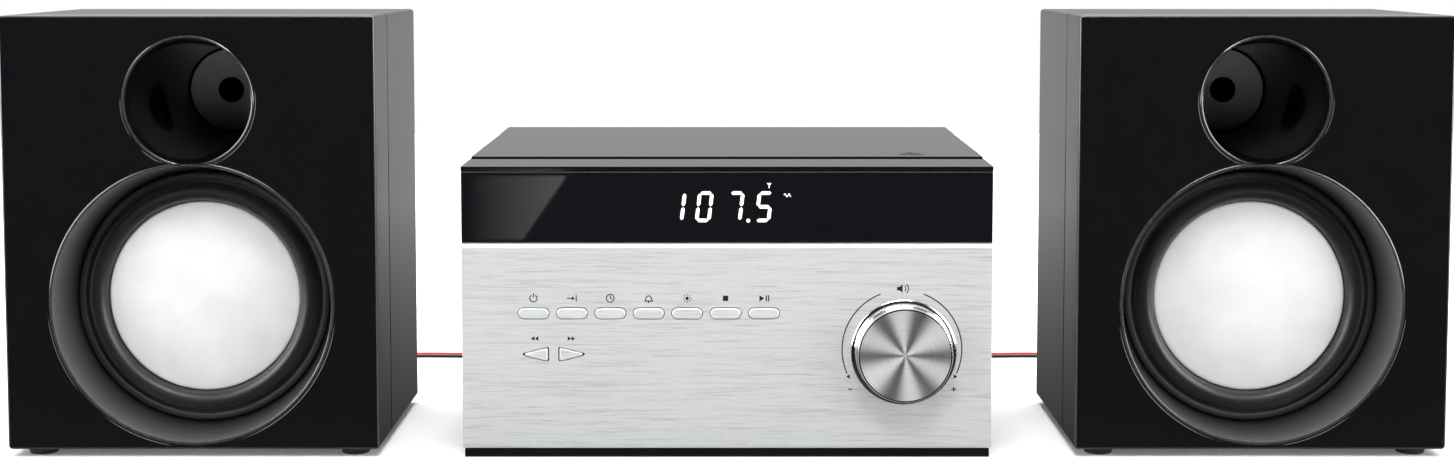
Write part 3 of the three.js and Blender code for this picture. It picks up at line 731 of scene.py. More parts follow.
def bafflePiece(name, x, body):
    # front moulding: softened front edge, a chamfer at the seam and the joined mouths cut through
    outer = [(0.8, 0.0), (0.55, 0.05), (0.25, 0.22), (0.06, 0.5), (0.0, 0.8)]
    seam = speaker["moulding"]
    outerLoops = [boxLoop(x, inset, 1.8 - inset, front + depth) for inset, depth in outer]
    outerLoops += [boxLoop(x, 0, 1.8, seam - 0.7), boxLoop(x, 0.7, 1.1, seam), boxLoop(x, 2, 1.4, seam),
                   boxLoop(x, 2, 1.4, front + 2.5)]
    mouth = [(0.95, 0.0), (0.62, 0.1), (0.38, 0.38), (0.3, 0.8), (0.3, 2.5)]
    mouthLoops = [atY(figureEight(x, g), front + d) for g, d in mouth]
    shape = joined(
        skin(outerLoops), skin(mouthLoops), filled([outerLoops[0], mouthLoops[0]]),
        filled([outerLoops[-1], mouthLoops[-1]]),
    )
    half = (speaker["half"], spkTall / 2)
    # the outer front edge faces take the lighter finish, a painted highlight along the box edges
    mesh = meshFrom(name, *shape, picks=[
        (1, lambda c: c.y < front + 0.82 and (
            abs(c.x - x) > half[0] - 0.7 or abs(c.z - spkMid) > half[1] - 0.7)),
    ])
    return settle(name, mesh, [finishes["glossBlack"], finishes["edge"]], body,
                  [name.replace("_front", "_baffle")],
                  40)


def cabinetPiece(name, x, body):
    rear, start = speaker["rear"], speaker["moulding"] + 0.3
    loops = [boxLoop(x, 3, 1.4, rear - 3), boxLoop(x, 3, 1.4, start), boxLoop(x, 0.9, 0.9, start),
             boxLoop(x, 0, 1.8, start + 0.9)]
    for inset, back in ((0, 1.2), (0.12, 0.65), (0.4, 0.25), (0.8, 0.05), (1.2, 0.0)):
        loops.append(boxLoop(x, inset, 1.8 - inset, rear - back))
    # shallow field in the back panel for the gland and the screws
    for inset, back in ((5.0, 0.0), (5.3, 0.1), (5.7, 0.7), (6.1, 0.8)):
        loops.append(boxLoop(x, inset, 2.6, rear - back))
    mesh = meshFrom(name, *skin(loops, True, True))
    return settle(name, mesh, [finishes["casing"]], body, [name.replace("_shell", "_cabinet")], 40)


def bezierProfile(a, b, c, d, steps):
    points = []
    for i in range(1, steps + 1):
        t = i / steps
        w = ((1 - t) ** 3, 3 * t * (1 - t) ** 2, 3 * t * t * (1 - t), t ** 3)
        points.append(tuple(sum(k * p[n] for k, p in zip(w, (a, b, c, d))) for n in (0, 1)))
    return points


def trimmed(mesh, height, keepBelow):
    # cuts a turned piece flat at a height and closes the cut
    work = bmesh.new()
    work.from_mesh(mesh)
    geometry = list(work.verts) + list(work.edges) + list(work.faces)
    found = bmesh.ops.bisect_plane(
        work, geom=geometry, plane_co=(0, 0, height * mm), plane_no=(0, 0, 1 if keepBelow else -1),
        clear_outer=True,
    )
    edges = [e for e in found["geom_cut"] if isinstance(e, bmesh.types.BMEdge)]
    bmesh.ops.holes_fill(work, edges=edges, sides=0)
    work.to_mesh(mesh)
    work.free()
    return mesh


chord = 133.92  # where the two rims cut each other


def deep(profile):
    return [(r, front + d) for r, d in profile]


def turnedPiece(name, profile, centre, steps, looks, body, nodes, sharp=30, axis="Y", picks=None,
                cut=None):
    # a turned shape as a finished piece, cut flat where cut gives (height, keep the lower side)
    mesh = meshFrom(name, *turned(profile, centre, axis, steps), picks=picks)
    if cut:
        mesh = trimmed(mesh, *cut)
    return settle(name, mesh, [finishes[look] for look in looks], body, nodes, sharp)


# faces at the very rim take the second finish, a painted highlight round each mouth
rimPick = [(1, lambda c: c.y < front + 0.5)]
for sideName, sign in sides:
    x = sign * speaker["x"]
    bafflePiece(f"{sideName}_front", x, "chassis")
    cabinetPiece(f"{sideName}_shell", x, "chassis")

    # dished ring between the front and the driver
    rim = woofer["rim"]
    dish = [(rim, 2.2), (rim, 0.6), (rim - 0.12, 0.22), (rim - 0.45, 0.02), (rim - 0.95, 0.0),
            (rim - 1.35, 0.18), (rim - 1.6, 0.6)]
    dish += bezierProfile((rim - 1.6, 0.6), (rim - 1.9, 10), (rim - 2.6, 18), (58.4, 26.6), 14)
    dish += [(58.4, 27.0), (63.6, 27.0), (63.6, 2.2)]
    turnedPiece(f"{sideName}_dished_ring", deep(dish), (x, woofer["z"]), 168, ["ringBlack", "lip"], "chassis",
                [f"{sideName}_woofer_bezel"], picks=rimPick, cut=(chord - 0.15, True))

    # flared horn with its grey end disc and the port tube behind it
    rim = horn["rim"]
    flare = [(rim, 2.2), (rim, 0.5), (rim - 0.12, 0.18), (rim - 0.4, 0.0), (rim - 0.85, 0.0),
             (rim - 1.2, 0.2), (rim - 1.45, 0.7)]
    flare += bezierProfile((rim - 1.45, 0.7), (26.4, 16), (22.2, 48), (20.4, 86), 18)
    flare += [(20.4, 90.0), (22.0, 90.0), (24.4, 50), (28.0, 20), (29.4, 2.2)]
    turnedPiece(f"{sideName}_horn_flare", deep(flare), (x, horn["z"]), 120, ["glossBlack", "lip"], "chassis",
                [f"{sideName}_port_horn"], picks=rimPick, cut=(chord + 0.15, False))
    hole = horn["hole"]
    disc = [(hole + 0.8, 86.2), (19.2, 86.2), (19.7, 86.5), (19.8, 87.0), (19.8, 88.4), (7.6, 88.4),
            (7.6, 104), (hole, 104), (hole, 87.0), (hole + 0.25, 86.5)]
    turnedPiece(f"{sideName}_horn_disc", deep(disc), (x, horn["z"]), 72, ["horn", "satinBlack"], "chassis",
                (), picks=[(1, lambda c, cx=x: math.hypot(c.x - cx, c.z - horn["z"]) < hole + 0.2)])

    # driver: gasket, roll surround and dome
    gasket = [(54.7, 26.1), (54.8, 25.0), (55.3, 24.5), (56.2, 24.3), (57.3, 24.5), (57.9, 25.0),
              (58.15, 25.7), (58.15, 26.1)]
    turnedPiece(f"{sideName}_woofer_gasket", deep(gasket), (x, woofer["z"]), 144, ["satinBlack"], "chassis",
                ())
    outerRoll, innerRoll = [
        [(48.8 + wide * math.cos(math.pi * i / steps), depth - high * math.sin(math.pi * i / steps))
         for i in range(steps + 1)]
        for wide, depth, high, steps in ((4.15, 26.0, 4.7, 16), (3.4, 26.2, 3.9, 12))
    ]
    roll = [(58.1, 26.25), (53.6, 26.25)] + outerRoll + [(44.65, 27.2), (45.4, 27.2)]
    roll += innerRoll[::-1] + [(53.6, 27.0), (58.1, 27.0)]
    turnedPiece(f"{sideName}_roll_surround", deep(roll), (x, woofer["z"]), 128, ["rollRubber"], "chassis",
                [f"{sideName}_woofer_surround"], 40)
    dome = [(0, 22.4)] + [(r, 22.4 + 3.3 * (r / 42.0) ** 2) for r in (4, 9, 14, 19, 24, 29, 34, 38, 41, 42.6)]
    dome += [(43.4, 26.0), (43.9, 26.3), (44.2, 26.75), (44.3, 27.3), (44.3, 32), (43.3, 32), (42.9, 27.6),
             (18, 24.6), (18, 62), (17, 62), (17, 24.2), (0, 23.6)]
    turnedPiece(f"{sideName}_dome", deep(dome), (x, woofer["z"]), 128, ["dome"], f"{sideName}_cone",
                [f"{sideName}_woofer_cone"])

    # tapered lead gland and the four feet
    back = speaker["rear"]
    gland = [(1.9, -6), (3.9, -6), (3.9, 0.1), (6.2, 0.1), (6.5, 0.5), (6.5, 1.7), (6.1, 2.1), (4.6, 2.3),
             (4.1, 3.2), (3.5, 3.4), (3.5, 4.2), (3.1, 4.4), (3.1, 5.4), (2.75, 5.6), (2.75, 6.8), (2.4, 7.0),
             (2.4, 8.8), (1.9, 9.0)]
    turnedPiece(f"{sideName}_gland", [(r, back + d) for r, d in gland], (x, lead["gland"][2]), 40, ["rubber"],
                "chassis", [f"{sideName}_lead_gland"])
    corners = ((-1, -1), (1, -1), (-1, 1), (1, 1))
    for i, (sx, sy) in enumerate(corners, 1):
        footY = front + 11.7 if sy < 0 else back - 14
        foot = [(0, 0.35), (4.6, 0.35), (4.9, 0.0), (5.9, 0.0), (6.3, 0.25), (6.6, 1.9), (7.2, 2.1),
                (7.55, 2.4), (7.6, 2.9), (7.6, 3.65), (0, 3.65)]
        turnedPiece(f"{sideName}_foot_pad_{i}", foot, (x + sx * 71.7, footY), 40, ["footRubber"], "chassis",
                    [f"{sideName}_foot_{i}"], axis="Z")
print("loudspeakers made")

# main unit: casing
unit = {"half": 120.0, "top": 132.8, "lidProud": 0.65}
casingWork = (
    ("base_tray", "plinth", 0.5, "glossBlack", "chassis", "gloss_black"),
    ("front_bezel", "front_moulding", 0.45, "glossBlack", "chassis", "gloss_black"),
    ("housing_shell", "body_shell", 0.5, "casing", "chassis", "casing"),
    ("rear_panel", "back_panel", 0.25, "satinBlack", "chassis", "satin_black"),
    ("disc_lid", "lid_cover", 0.3, "casing", "lid", "casing"),
    ("terminal_block", "clip_block", 0.3, "satinBlack", "chassis", "satin_black"),
    ("display_window", "window_panel", 0.35, "window", "chassis", "window_black"),
)
for node, name, radius, finish, body, slotName in casingWork:
    shaped = softened(node, radius)
    if node == "disc_lid":  # the lid stands a hair proud, which shows its seam
        for vertex in shaped.vertices:
            if vertex.co.z > (unit["top"] - 1.5) * mm:
                vertex.co.z += unit["lidProud"] * mm
    settle(name, shaped, [finishes[finish]], body, [node], 30)

for i in range(1, 5):
    finish, slotName = ("redAbs", "lever_red") if i in (2, 3) else ("satinBlack", "satin_black")
    settle(f"clip_lever_{i}", softened(f"lever_{i}", 0.35), [finishes[finish]], f"lever_{i}_tab",
           [f"lever_{i}"], 30)

boardMesh = softened("main_board", 0.12, 1)
paintFaces(boardMesh, [
    (1, lambda c: c.z > 13.1 and c.y > 99), (2, lambda c: c.z > 13.1 and c.x < -19 and c.y > 59),
    (1, lambda c: c.z > 13.1 and c.y < 50),
])
settle("main_circuit_board", boardMesh, [finishes[k] for k in ("board", "satinBlack", "zinc")], "chassis",
       ["main_board"], 30)
for node, finish in (("front_board", "board"), ("display_module", "satinBlack"), ("volume_control", "zinc"),
                     ("disc_mechanism", "zinc"), ("left_woofer_frame", "satinBlack"),
                     ("right_woofer_frame", "satinBlack")):
    held = bpy.data.objects[node]
    held.data.materials.clear()
    held.data.materials.append(finishes[finish])

# face plate, keys and knob
plate = {"low": 4.1, "high": 98.1, "lowBevel": 1.6, "topBevel": 2.2, "rear": -102.0}
keys = {"first": -87.5, "pitch": 17.37, "z": 66.1, "w": 13.7, "h": 4.8, "r": 2.3,
        "proud": 0.6, "inner": -98.6}
tuneCorners = {
    "tune_down": ((-93.2, 47.4), (-80.6, 44.3), (-80.6, 50.5)),
    "tune_up": ((-63.8, 47.4), (-76.4, 50.5), (-76.4, 44.3)),
}


def roundedTriangle(corners, inset, radius=0.7, steps=5):
    # the triangle moved in by inset, with its corners rounded
    cx, cz = (sum(c[k] for c in corners) / 3 for k in (0, 1))
    area = sum(a[0] * b[1] - b[0] * a[1] for a, b in zip(corners, corners[1:] + corners[:1])) / 2
    ring = list(corners) if area > 0 else list(corners)[::-1]
    inradius = 2 * abs(area) / sum(math.dist(a, b) for a, b in zip(ring, ring[1:] + ring[:1]))
    share = 1 - (inset + radius) / inradius
    points = []
    for i, corner in enumerate(ring):
        before, after = ring[i - 1], ring[(i + 1) % 3]
        start = math.atan2(corner[1] - before[1], corner[0] - before[0]) - math.pi / 2
        end = math.atan2(after[1] - corner[1], after[0] - corner[0]) - math.pi / 2
        while end < start:
            end += 2 * math.pi
        for k in range(steps + 1):
            a = start + (end - start) * k / steps
            points.append((cx + (corner[0] - cx) * share + radius * math.cos(a),
                           cz + (corner[1] - cz) * share + radius * math.sin(a)))
    return points


def circleLoop(x, z, radius, steps=48):
    return [(x + radius * math.cos(2 * math.pi * i / steps), z + radius * math.sin(2 * math.pi * i / steps))
            for i in range(steps)]


def keyLoop(i, grow):
    x = keys["first"] + i * keys["pitch"]
    return roundedLoop(x, keys["z"], keys["w"] + 2 * grow, keys["h"] + 2 * grow, keys["r"] + grow, 8)


def plateLoop(inset, lowY, highY, low, high):
    half = unit["half"] - inset
    return [(-half, lowY, low), (half, lowY, low), (half, highY, high), (-half, highY, high)]


holeMakers = [lambda grow, i=i: keyLoop(i, grow) for i in range(7)]
holeMakers += [lambda grow, c=c: roundedTriangle(c, -grow) for c in tuneCorners.values()]
holeMakers.append(lambda grow: circleLoop(knobAt[0], knobAt[2], 5.7 + grow))
edge = [
    plateLoop(0.25, front, front, plate["low"] + plate["lowBevel"], plate["high"] - plate["topBevel"]),
    plateLoop(0.05, front + 0.25, front + 0.12, plate["low"] + 1.2, plate["high"] - plate["topBevel"] + 0.35),
    plateLoop(0.0, front + 1.3, front + 1.4, plate["low"] + 0.15, plate["high"] - 0.15),
    plateLoop(0.0, front + 1.55, front + 1.6, plate["low"], plate["high"]),
    plateLoop(0.0, plate["rear"], plate["rear"], plate["low"], plate["high"]),
]
frontHoles = [atY(make(0.42), front) for make in holeMakers]
rearHoles = [atY(make(0.3), plate["rear"]) for make in holeMakers]
walls = [
    skin([atY(make(0.42), front), atY(make(0.32), front + 0.12), atY(make(0.3), front + 0.3),
          atY(make(0.3), plate["rear"])])
    for make in holeMakers
]
plateShape = joined(skin(edge), filled([edge[0]] + frontHoles), filled([edge[-1]] + rearHoles), *walls)
settle(
    "brushed_plate", meshFrom("brushed_plate", *plateShape, picks=[
        (1, lambda c: c.z > plate["high"] - plate["topBevel"] - 0.01),
        (1, lambda c: c.z < plate["low"] + plate["lowBevel"] + 0.01),
    ]), [finishes["brushed"], finishes["chamfer"]], "chassis", ["face_plate"], 20,
)

capSteps = [(0.95, 0.0), (0.55, 0.03), (0.28, 0.14), (0.1, 0.34), (0.0, 0.65)]
for i in range(7):
    loops = [atY(keyLoop(i, -g), front - keys["proud"] + d) for g, d in capSteps]
    loops.append(atY(keyLoop(i, 0), keys["inner"]))
    name = f"key_cap_{i + 1}"
    settle(name, meshFrom(name, *skin(loops, True, True)), [finishes["keySilver"]], f"key_{i + 1}_cap",
           [f"key_{i + 1}"], 45)
for node, corners in tuneCorners.items():
    loops = [atY(roundedTriangle(corners, g * 0.8), front - keys["proud"] + d) for g, d in capSteps]
    loops.append(atY(roundedTriangle(corners, 0), keys["inner"]))
    name = f"{node}_key"
    settle(name, meshFrom(name, *skin(loops, True, True)), [finishes["keySilver"]], f"{node}_cap", [node],
           45)

knobProfile = [
    (0, -116.7), (5, -116.72), (12, -116.78), (20.4, -116.9), (20.75, -117.0), (21.05, -116.9),
    (21.3, -116.5), (21.4, -116.0), (21.75, -109.2), (21.95, -108.5), (22.4, -108.1), (23.3, -107.9),
    (23.8, -107.6), (24.0, -107.1), (24.0, -104.7), (23.8, -104.4), (19.8, -104.35), (19.8, -114.4),
    (5.4, -114.4), (5.4, -105.5), (3.0, -105.5), (3.0, -93.0), (0, -93.0),
]


def knobRadius(c):
    return math.hypot(c.x - knobAt[0], c.z - knobAt[2])


turnedPiece(
    "knob_cap", knobProfile, (knobAt[0], knobAt[2]), 180, ["spun", "brightCut", "keySilver"], "knob",
    ["volume_knob"], 24, picks=[
        (1, lambda c: knobRadius(c) > 20.5 and c.y > -118),
        (2, lambda c: knobRadius(c) < 20.2 and c.y > -114.6),
    ],
)
print("face plate, keys and knob made")


# printed marks and display
def stroke(points, width):
    # a flat line of even width with square ends
    left, right = [], []
    for i, p in enumerate(points):
        a, b = points[max(i - 1, 0)], points[min(i + 1, len(points) - 1)]
        dx, dz = b[0] - a[0], b[1] - a[1]
        size = math.hypot(dx, dz)
        nx, nz = -dz / size * width / 2, dx / size * width / 2
        left.append((p[0] + nx, p[1] + nz))
        right.append((p[0] - nx, p[1] - nz))
    return [[left[i], left[i + 1], right[i + 1], right[i]] for i in range(len(points) - 1)]


def arcPoints(x, z, radius, start, end, steps=40):
    return [(x + radius * math.cos(math.radians(start + (end - start) * i / steps)),
             z + radius * math.sin(math.radians(start + (end - start) * i / steps))) for i in range(steps + 1)]


def printed(name, shapes, place, level, thick, finish, body="chassis"):
    # flat marks standing a hair proud of the face they are printed on
    parts = [skin([place(shape, level), place(shape, level + thick)], True, True) for shape in shapes]
    return settle(name, plainMesh(name, *joined(*parts)), [finishes[finish]], body, (), 30)


marks = {"z": 73.0, "line": 0.36, "size": 1.3, "arcR": 27.1, "y": front + 0.01}


def at(x, z, shapes, size=1.0):
    return [[(x + u * size, z + v * size) for u, v in shape] for shape in shapes]


w = marks["line"]
icons = [
    stroke(arcPoints(0, 0, 1.25, 120, 420), w) + stroke([(0, 0.3), (0, 1.75)], w),  # power
    stroke([(-1.7, 0), (0.2, 0)], w) + [[(0.0, 0.75), (0.0, -0.75), (1.1, 0)]]
    + stroke([(1.5, -1.2), (1.5, 1.2)], w),  # source
    stroke(arcPoints(0, 0, 1.35, 0, 360), w) + stroke([(0, 0), (0, 0.9)], w) + stroke([(0, 0), (0.7, -0.3)], w),
    stroke(arcPoints(0, -0.1, 0.95, 0, 180) + [(-1.25, -0.9)], w) + stroke([(0.95, -0.1), (1.25, -0.9)], w)
    + stroke([(-1.5, -0.95), (1.5, -0.95)], w) + [circleLoop(0, -1.35, 0.3, 12)],
    [circleLoop(0, 0, 0.62, 20)] + [s for k in range(8) for s in stroke(
        [(1.0 * math.cos(k * math.pi / 4), 1.0 * math.sin(k * math.pi / 4)),
         (1.5 * math.cos(k * math.pi / 4), 1.5 * math.sin(k * math.pi / 4))], w)],
    [[(-0.95, -0.95), (0.95, -0.95), (0.95, 0.95), (-0.95, 0.95)]],
    [[(-1.6, -1.1), (-1.6, 1.1), (0.1, 0)], [(0.6, -1.1), (1.0, -1.1), (1.0, 1.1), (0.6, 1.1)],
     [(1.4, -1.1), (1.8, -1.1), (1.8, 1.1), (1.4, 1.1)]],
]
shapes = []
for i, icon in enumerate(icons):
    shapes += at(keys["first"] + i * keys["pitch"], marks["z"], icon, marks["size"])
for x, flip in ((-87.0, -1), (-70.5, 1)):
    arrow = [[(flip * a, -0.85), (flip * a, 0.85), (flip * (a + 1.3), 0)] for a in (-1.3, 0.1)]
    shapes += at(x, 54.6, arrow, 1.25)
kx, kz = knobAt[0], knobAt[2]
for start, end, tipAngle in ((111, 204, 208), (69, -24, -28)):
    shapes += stroke(arcPoints(kx - 0.6, kz + 0.6, marks["arcR"], start, end, 48), 0.55)
    tx, tz = arcPoints(kx - 0.6, kz + 0.6, marks["arcR"], tipAngle, tipAngle, 1)[0]
    way = math.radians(tipAngle + (90 if tipAngle > 0 else -90))
    ux, uz = math.cos(way), math.sin(way)
    shapes.append([(tx + ux * 0.9, tz + uz * 0.9), (tx - ux * 1.0 - uz * 0.95, tz - uz * 1.0 + ux * 0.95),
                   (tx - ux * 1.0 + uz * 0.95, tz - uz * 1.0 - ux * 0.95)])
shapes += stroke([(kx - 24.9, kz - 17.6), (kx - 22.9, kz - 17.6)], 0.5)  # quieter
shapes += stroke([(kx + 21.9, kz - 17.6), (kx + 24.1, kz - 17.6)], 0.5)  # louder
shapes += stroke([(kx + 23.0, kz - 18.7), (kx + 23.0, kz - 16.5)], 0.5)
speakerMark = [[(-1.6, -0.55), (-0.8, -0.55), (-0.8, 0.55), (-1.6, 0.55)],
               [(-0.8, -0.55), (0.1, -1.3), (0.1, 1.3), (-0.8, 0.55)]]
shapes += at(kx - 0.6, kz + 28.4, speakerMark + stroke(arcPoints(0.1, 0, 1.0, -50, 50, 8), 0.28)
             + stroke(arcPoints(0.1, 0, 1.8, -50, 50, 10), 0.28), 1.5)
printed("plate_print", shapes, atY, marks["y"], -0.03, "ink")

digits = {"z": 108.4, "w": 5.5, "h": 12.4, "bar": 1.55, "lean": 0.12, "y": front + 0.31}
segmentSets = {"0": "abcdef", "1": "bc", "5": "afgcd", "7": "abc"}


def digitShapes(mark, x):
    wide, tall, bar = digits["w"], digits["h"], digits["bar"]
    half, cut, gap = tall / 2, bar / 2, 0.22
    bars = {
        "a": ((0, tall), (wide, tall)), "g": ((0, half), (wide, half)), "d": ((0, 0), (wide, 0)),
        "f": ((0, half), (0, tall)), "b": ((wide, half), (wide, tall)), "e": ((0, 0), (0, half)),
        "c": ((wide, 0), (wide, half)),
    }
    result = []
    for key in segmentSets[mark]:
        (x0, z0), (x1, z1) = bars[key]
        if z0 == z1:
            ring = [(x0 + gap, z0), (x0 + cut + gap, z0 + cut), (x1 - cut - gap, z0 + cut), (x1 - gap, z0),
                    (x1 - cut - gap, z0 - cut), (x0 + cut + gap, z0 - cut)]
        else:
            ring = [(x0, z0 + gap), (x0 + cut, z0 + cut + gap), (x0 + cut, z1 - cut - gap), (x0, z1 - gap),
                    (x0 - cut, z1 - cut - gap), (x0 - cut, z0 + cut + gap)]
        result.append([(x + u + v * digits["lean"], digits["z"] + v) for u, v in ring])
    return result


shapes = []
for mark, place in (("1", -26.0), ("0", -13.7), ("7", 0.2), ("5", 13.2)):
    shapes += digitShapes(mark, place)
shapes.append(circleLoop(9.6, digits["z"] - 0.1, 0.85, 20))
# aerial and wave marks beside the number
shapes += at(19.0, 124.2, stroke([(0, -1.2), (0, 0.9)], 0.35) + [[(-1.1, 1.1), (0, 0.0), (1.1, 1.1)]])
shapes += at(27.2, 119.6, stroke([(-1.5, 0.2)] + [(-1.5 + 0.3 * k, 0.2 + 0.8 * math.sin(k * 1.05)) for k in
                                                   range(1, 11)], 0.26))
printed("display_digits", shapes, atY, digits["y"], -0.04, "lit")
print("marks and display made")

# disc bay
bay = {
    "x": 0.0, "y": 27.0, "r": 63.0, "floor": 107.5, "top": 115.4, "hubHole": 17.2, "notchAt": 61.0,
    "notchR": 12, "slotEnd": 61.0, "slotHalf": 9.0, "sheet": 2.5, "deckY": 25.9, "deckW": 234, "deckD": 169.4,
    "skirtLow": 100.2,
}


def polar(reach, z, steps=360):
    return [(bay["x"] + reach(a) * math.cos(a), bay["y"] + reach(a) * math.sin(a), z)
            for a in [2 * math.pi * i / steps for i in range(steps)]]


def wellReach(grow):
    def reach(a):
        best = bay["r"] + grow
        across, notch = bay["notchAt"] * math.sin(a), bay["notchR"] + grow
        if abs(across) < notch:
            best = max(best, bay["notchAt"] * abs(math.cos(a)) + math.sqrt(notch ** 2 - across ** 2))
        return best
    return reach


def slotReach(a):
    # hub hole with the pickup's slot running out towards the front
    along, across = -math.sin(a), abs(math.cos(a))
    best = bay["hubHole"]
    if along > 0:
        best = max(best, min(bay["slotEnd"] / along, bay["slotHalf"] / max(across, 1e-6)))
    return best


def deckLoop(inset, radius, z):
    return atZ(roundedLoop(0, bay["deckY"], bay["deckW"] - 2 * inset, bay["deckD"] - 2 * inset, radius), z)


top, floor, sheet = bay["top"], bay["floor"], bay["sheet"]
deckEdge = [deckLoop(i, 3 - i, top - d) for i, d in ((0.5, 0), (0.15, 0.15), (0.0, 0.5))]
deckEdge += [deckLoop(0, 3, bay["skirtLow"]), deckLoop(2.5, 2, bay["skirtLow"]), deckLoop(2.5, 2, top - sheet)]
wellWall = [polar(wellReach(grow), z) for grow, z in (
    (0.7, top), (0.3, top - 0.12), (0.05, top - 0.5), (0.0, floor + 1.2), (-0.35, floor + 0.35), (-1.2, floor))]
slotWall = [polar(slotReach, floor), polar(slotReach, floor - sheet)]
underside = [polar(wellReach(sheet), top - sheet), polar(wellReach(sheet), floor - sheet),
             polar(slotReach, floor - sheet)]
deckShape = joined(
    skin(deckEdge), filled([deckEdge[0], wellWall[0]]), skin(wellWall),
    skin([wellWall[-1], slotWall[0]]), skin(slotWall), skin(underside), filled([deckEdge[-1], underside[0]]),
)
settle("disc_well", meshFrom("disc_well", *deckShape), [finishes["deckBlack"]], "chassis", ["disc_deck"],
       35)
hubProfile = [(0, 96), (1.5, 96), (1.5, 107.9), (15.6, 108.9), (16, 109.3), (16, 110.7), (15.7, 111.0),
              (12.4, 111.0), (12.2, 110.8), (11.8, 110.8), (11.6, 111.0), (8.0, 111.0), (7.4, 111.2),
              (7.3, 112.2), (7.2, 113.6), (6.8, 114.6), (5.9, 115.1), (4.6, 115.25), (3.6, 114.7), (0, 114.7)]
turnedPiece("hub_cap", hubProfile, (bay["x"], bay["y"]), 96, ["whiteAcetal"], "hub", ["disc_hub"],
            axis="Z")
pickupMesh = softened("optical_pickup", 0.3)
paintFaces(pickupMesh, [(1, lambda c: c.z > 99.7)])
settle("pickup_sled", pickupMesh, [finishes["zinc"], finishes["satinBlack"]], "pickup", ["optical_pickup"],
       30)
lens = [(0, 107.75), (1.0, 107.7), (1.9, 107.55), (2.5, 107.3), (2.6, 106.8), (0, 106.8)]
turnedPiece("pickup_lens", lens, (0, -3), 40, ["window"], "pickup", (), 40, axis="Z")
print("disc bay made")


# repeated pieces by geometry nodes
def buildTree(name, inputs):
    tree = bpy.data.node_groups.new(name, "GeometryNodeTree")
    tree.interface.new_socket("Geometry", in_out="INPUT", socket_type="NodeSocketGeometry")
    for label, value in inputs.items():
        kind = "NodeSocketInt" if isinstance(value, int) else "NodeSocketFloat"
        tree.interface.new_socket(label, in_out="INPUT", socket_type=kind).default_value = value
    tree.interface.new_socket("Geometry", in_out="OUTPUT", socket_type="NodeSocketGeometry")
    return tree, tree.nodes.new("NodeGroupInput")


def grown(name, tree, values, base, body, sharp=30):
    # runs a tree on a base mesh and keeps the result as a plain mesh
    holder = workHolder(name, base)
    modifier = holder.modifiers.new("grow", "NODES")
    modifier.node_group = tree
    for item in tree.interface.items_tree:
        if item.item_type == "SOCKET" and item.in_out == "INPUT" and item.name in values:
            modifier[item.identifier] = values[item.name]
    result = applied(holder)
    result.name = name
    result.shade_smooth()
    result.set_sharp_from_angle(angle=math.radians(sharp))
    piece = bpy.data.objects.new(name, result)
    scene.collection.objects.link(piece)
    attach(piece, body)


screw = {"Head Radius": 2.6 * mm, "Head Height": 1.1 * mm, "Cross Length": 3.0 * mm, "Cross Width": 0.6 * mm,
         "Cross Depth": 0.8 * mm}


def screwTree(finish):
    # pan-head screws with a cross recess, one on each point, facing +Y
    tree, given = buildTree("screw_heads", screw)
    body = addNode(tree, "GeometryNodeMeshCylinder", {"Vertices": 28, "Side Segments": 1},
                   {"Radius": (given, "Head Radius"), "Depth": (given, "Head Height")})
    cuts = []
    for swap in (False, True):
        across, along = ("Cross Length", "Cross Width")[::-1 if swap else 1]
        size = addNode(tree, "ShaderNodeCombineXYZ", links={
            0: (given, across), 1: (given, along), 2: (given, "Cross Depth")})
        bar = addNode(tree, "GeometryNodeMeshCube", links={"Size": (size, 0)})
        lift = addNode(tree, "ShaderNodeMath", {1: 0.5}, {0: (given, "Head Height")}, operation="MULTIPLY")
        up = addNode(tree, "ShaderNodeCombineXYZ", links={2: (lift, 0)})
        cuts.append(addNode(tree, "GeometryNodeTransform",
                            links={"Geometry": (bar, 0), "Translation": (up, 0)}))
    head = addNode(tree, "GeometryNodeMeshBoolean", {"Self Intersection": True}, operation="DIFFERENCE",
                   solver="EXACT")
    tree.links.new(body.outputs[0], head.inputs[0])
    for piece in cuts:
        tree.links.new(piece.outputs[0], head.inputs[1])
    spots = addNode(tree, "GeometryNodeInstanceOnPoints",
                    {"Rotation": (math.radians(-90), 0, 0)}, {"Points": (given, 0), "Instance": (head, 0)})
    real = addNode(tree, "GeometryNodeRealizeInstances", links={0: (spots, 0)})
    done = addNode(tree, "GeometryNodeSetMaterial", {"Material": finish}, {0: (real, 0)})
    addNode(tree, "NodeGroupOutput", links={0: (done, 0)})
    return tree


def pointMesh(name, spots):
    mesh = bpy.data.meshes.new(name)
    mesh.from_pydata([Vector(p) * mm for p in spots], [], [])
    return mesh


screwHeads = screwTree(finishes["zinc"])
spots = [(sign * speaker["x"] + dx, speaker["rear"] - 0.35, z) for _, sign in sides for dx in (-72, 72)
         for z in (15.7, 188.7)]
spots += [(x, 115.9, z) for x in (-102, 102) for z in (12, 54, 96)] + [(x, 115.9, 98.0) for x in (-34, 34)]
grown("back_screws", screwHeads, screw, pointMesh("back_screw_points", spots), "chassis")

louvre = {"Count": 9, "Pitch": 6.0 * mm, "Width": 1.0 * mm, "Depth": 3.0 * mm, "Height": 26.0 * mm}
louvrePlace = (-0.0945, 0.1118, 0.079)


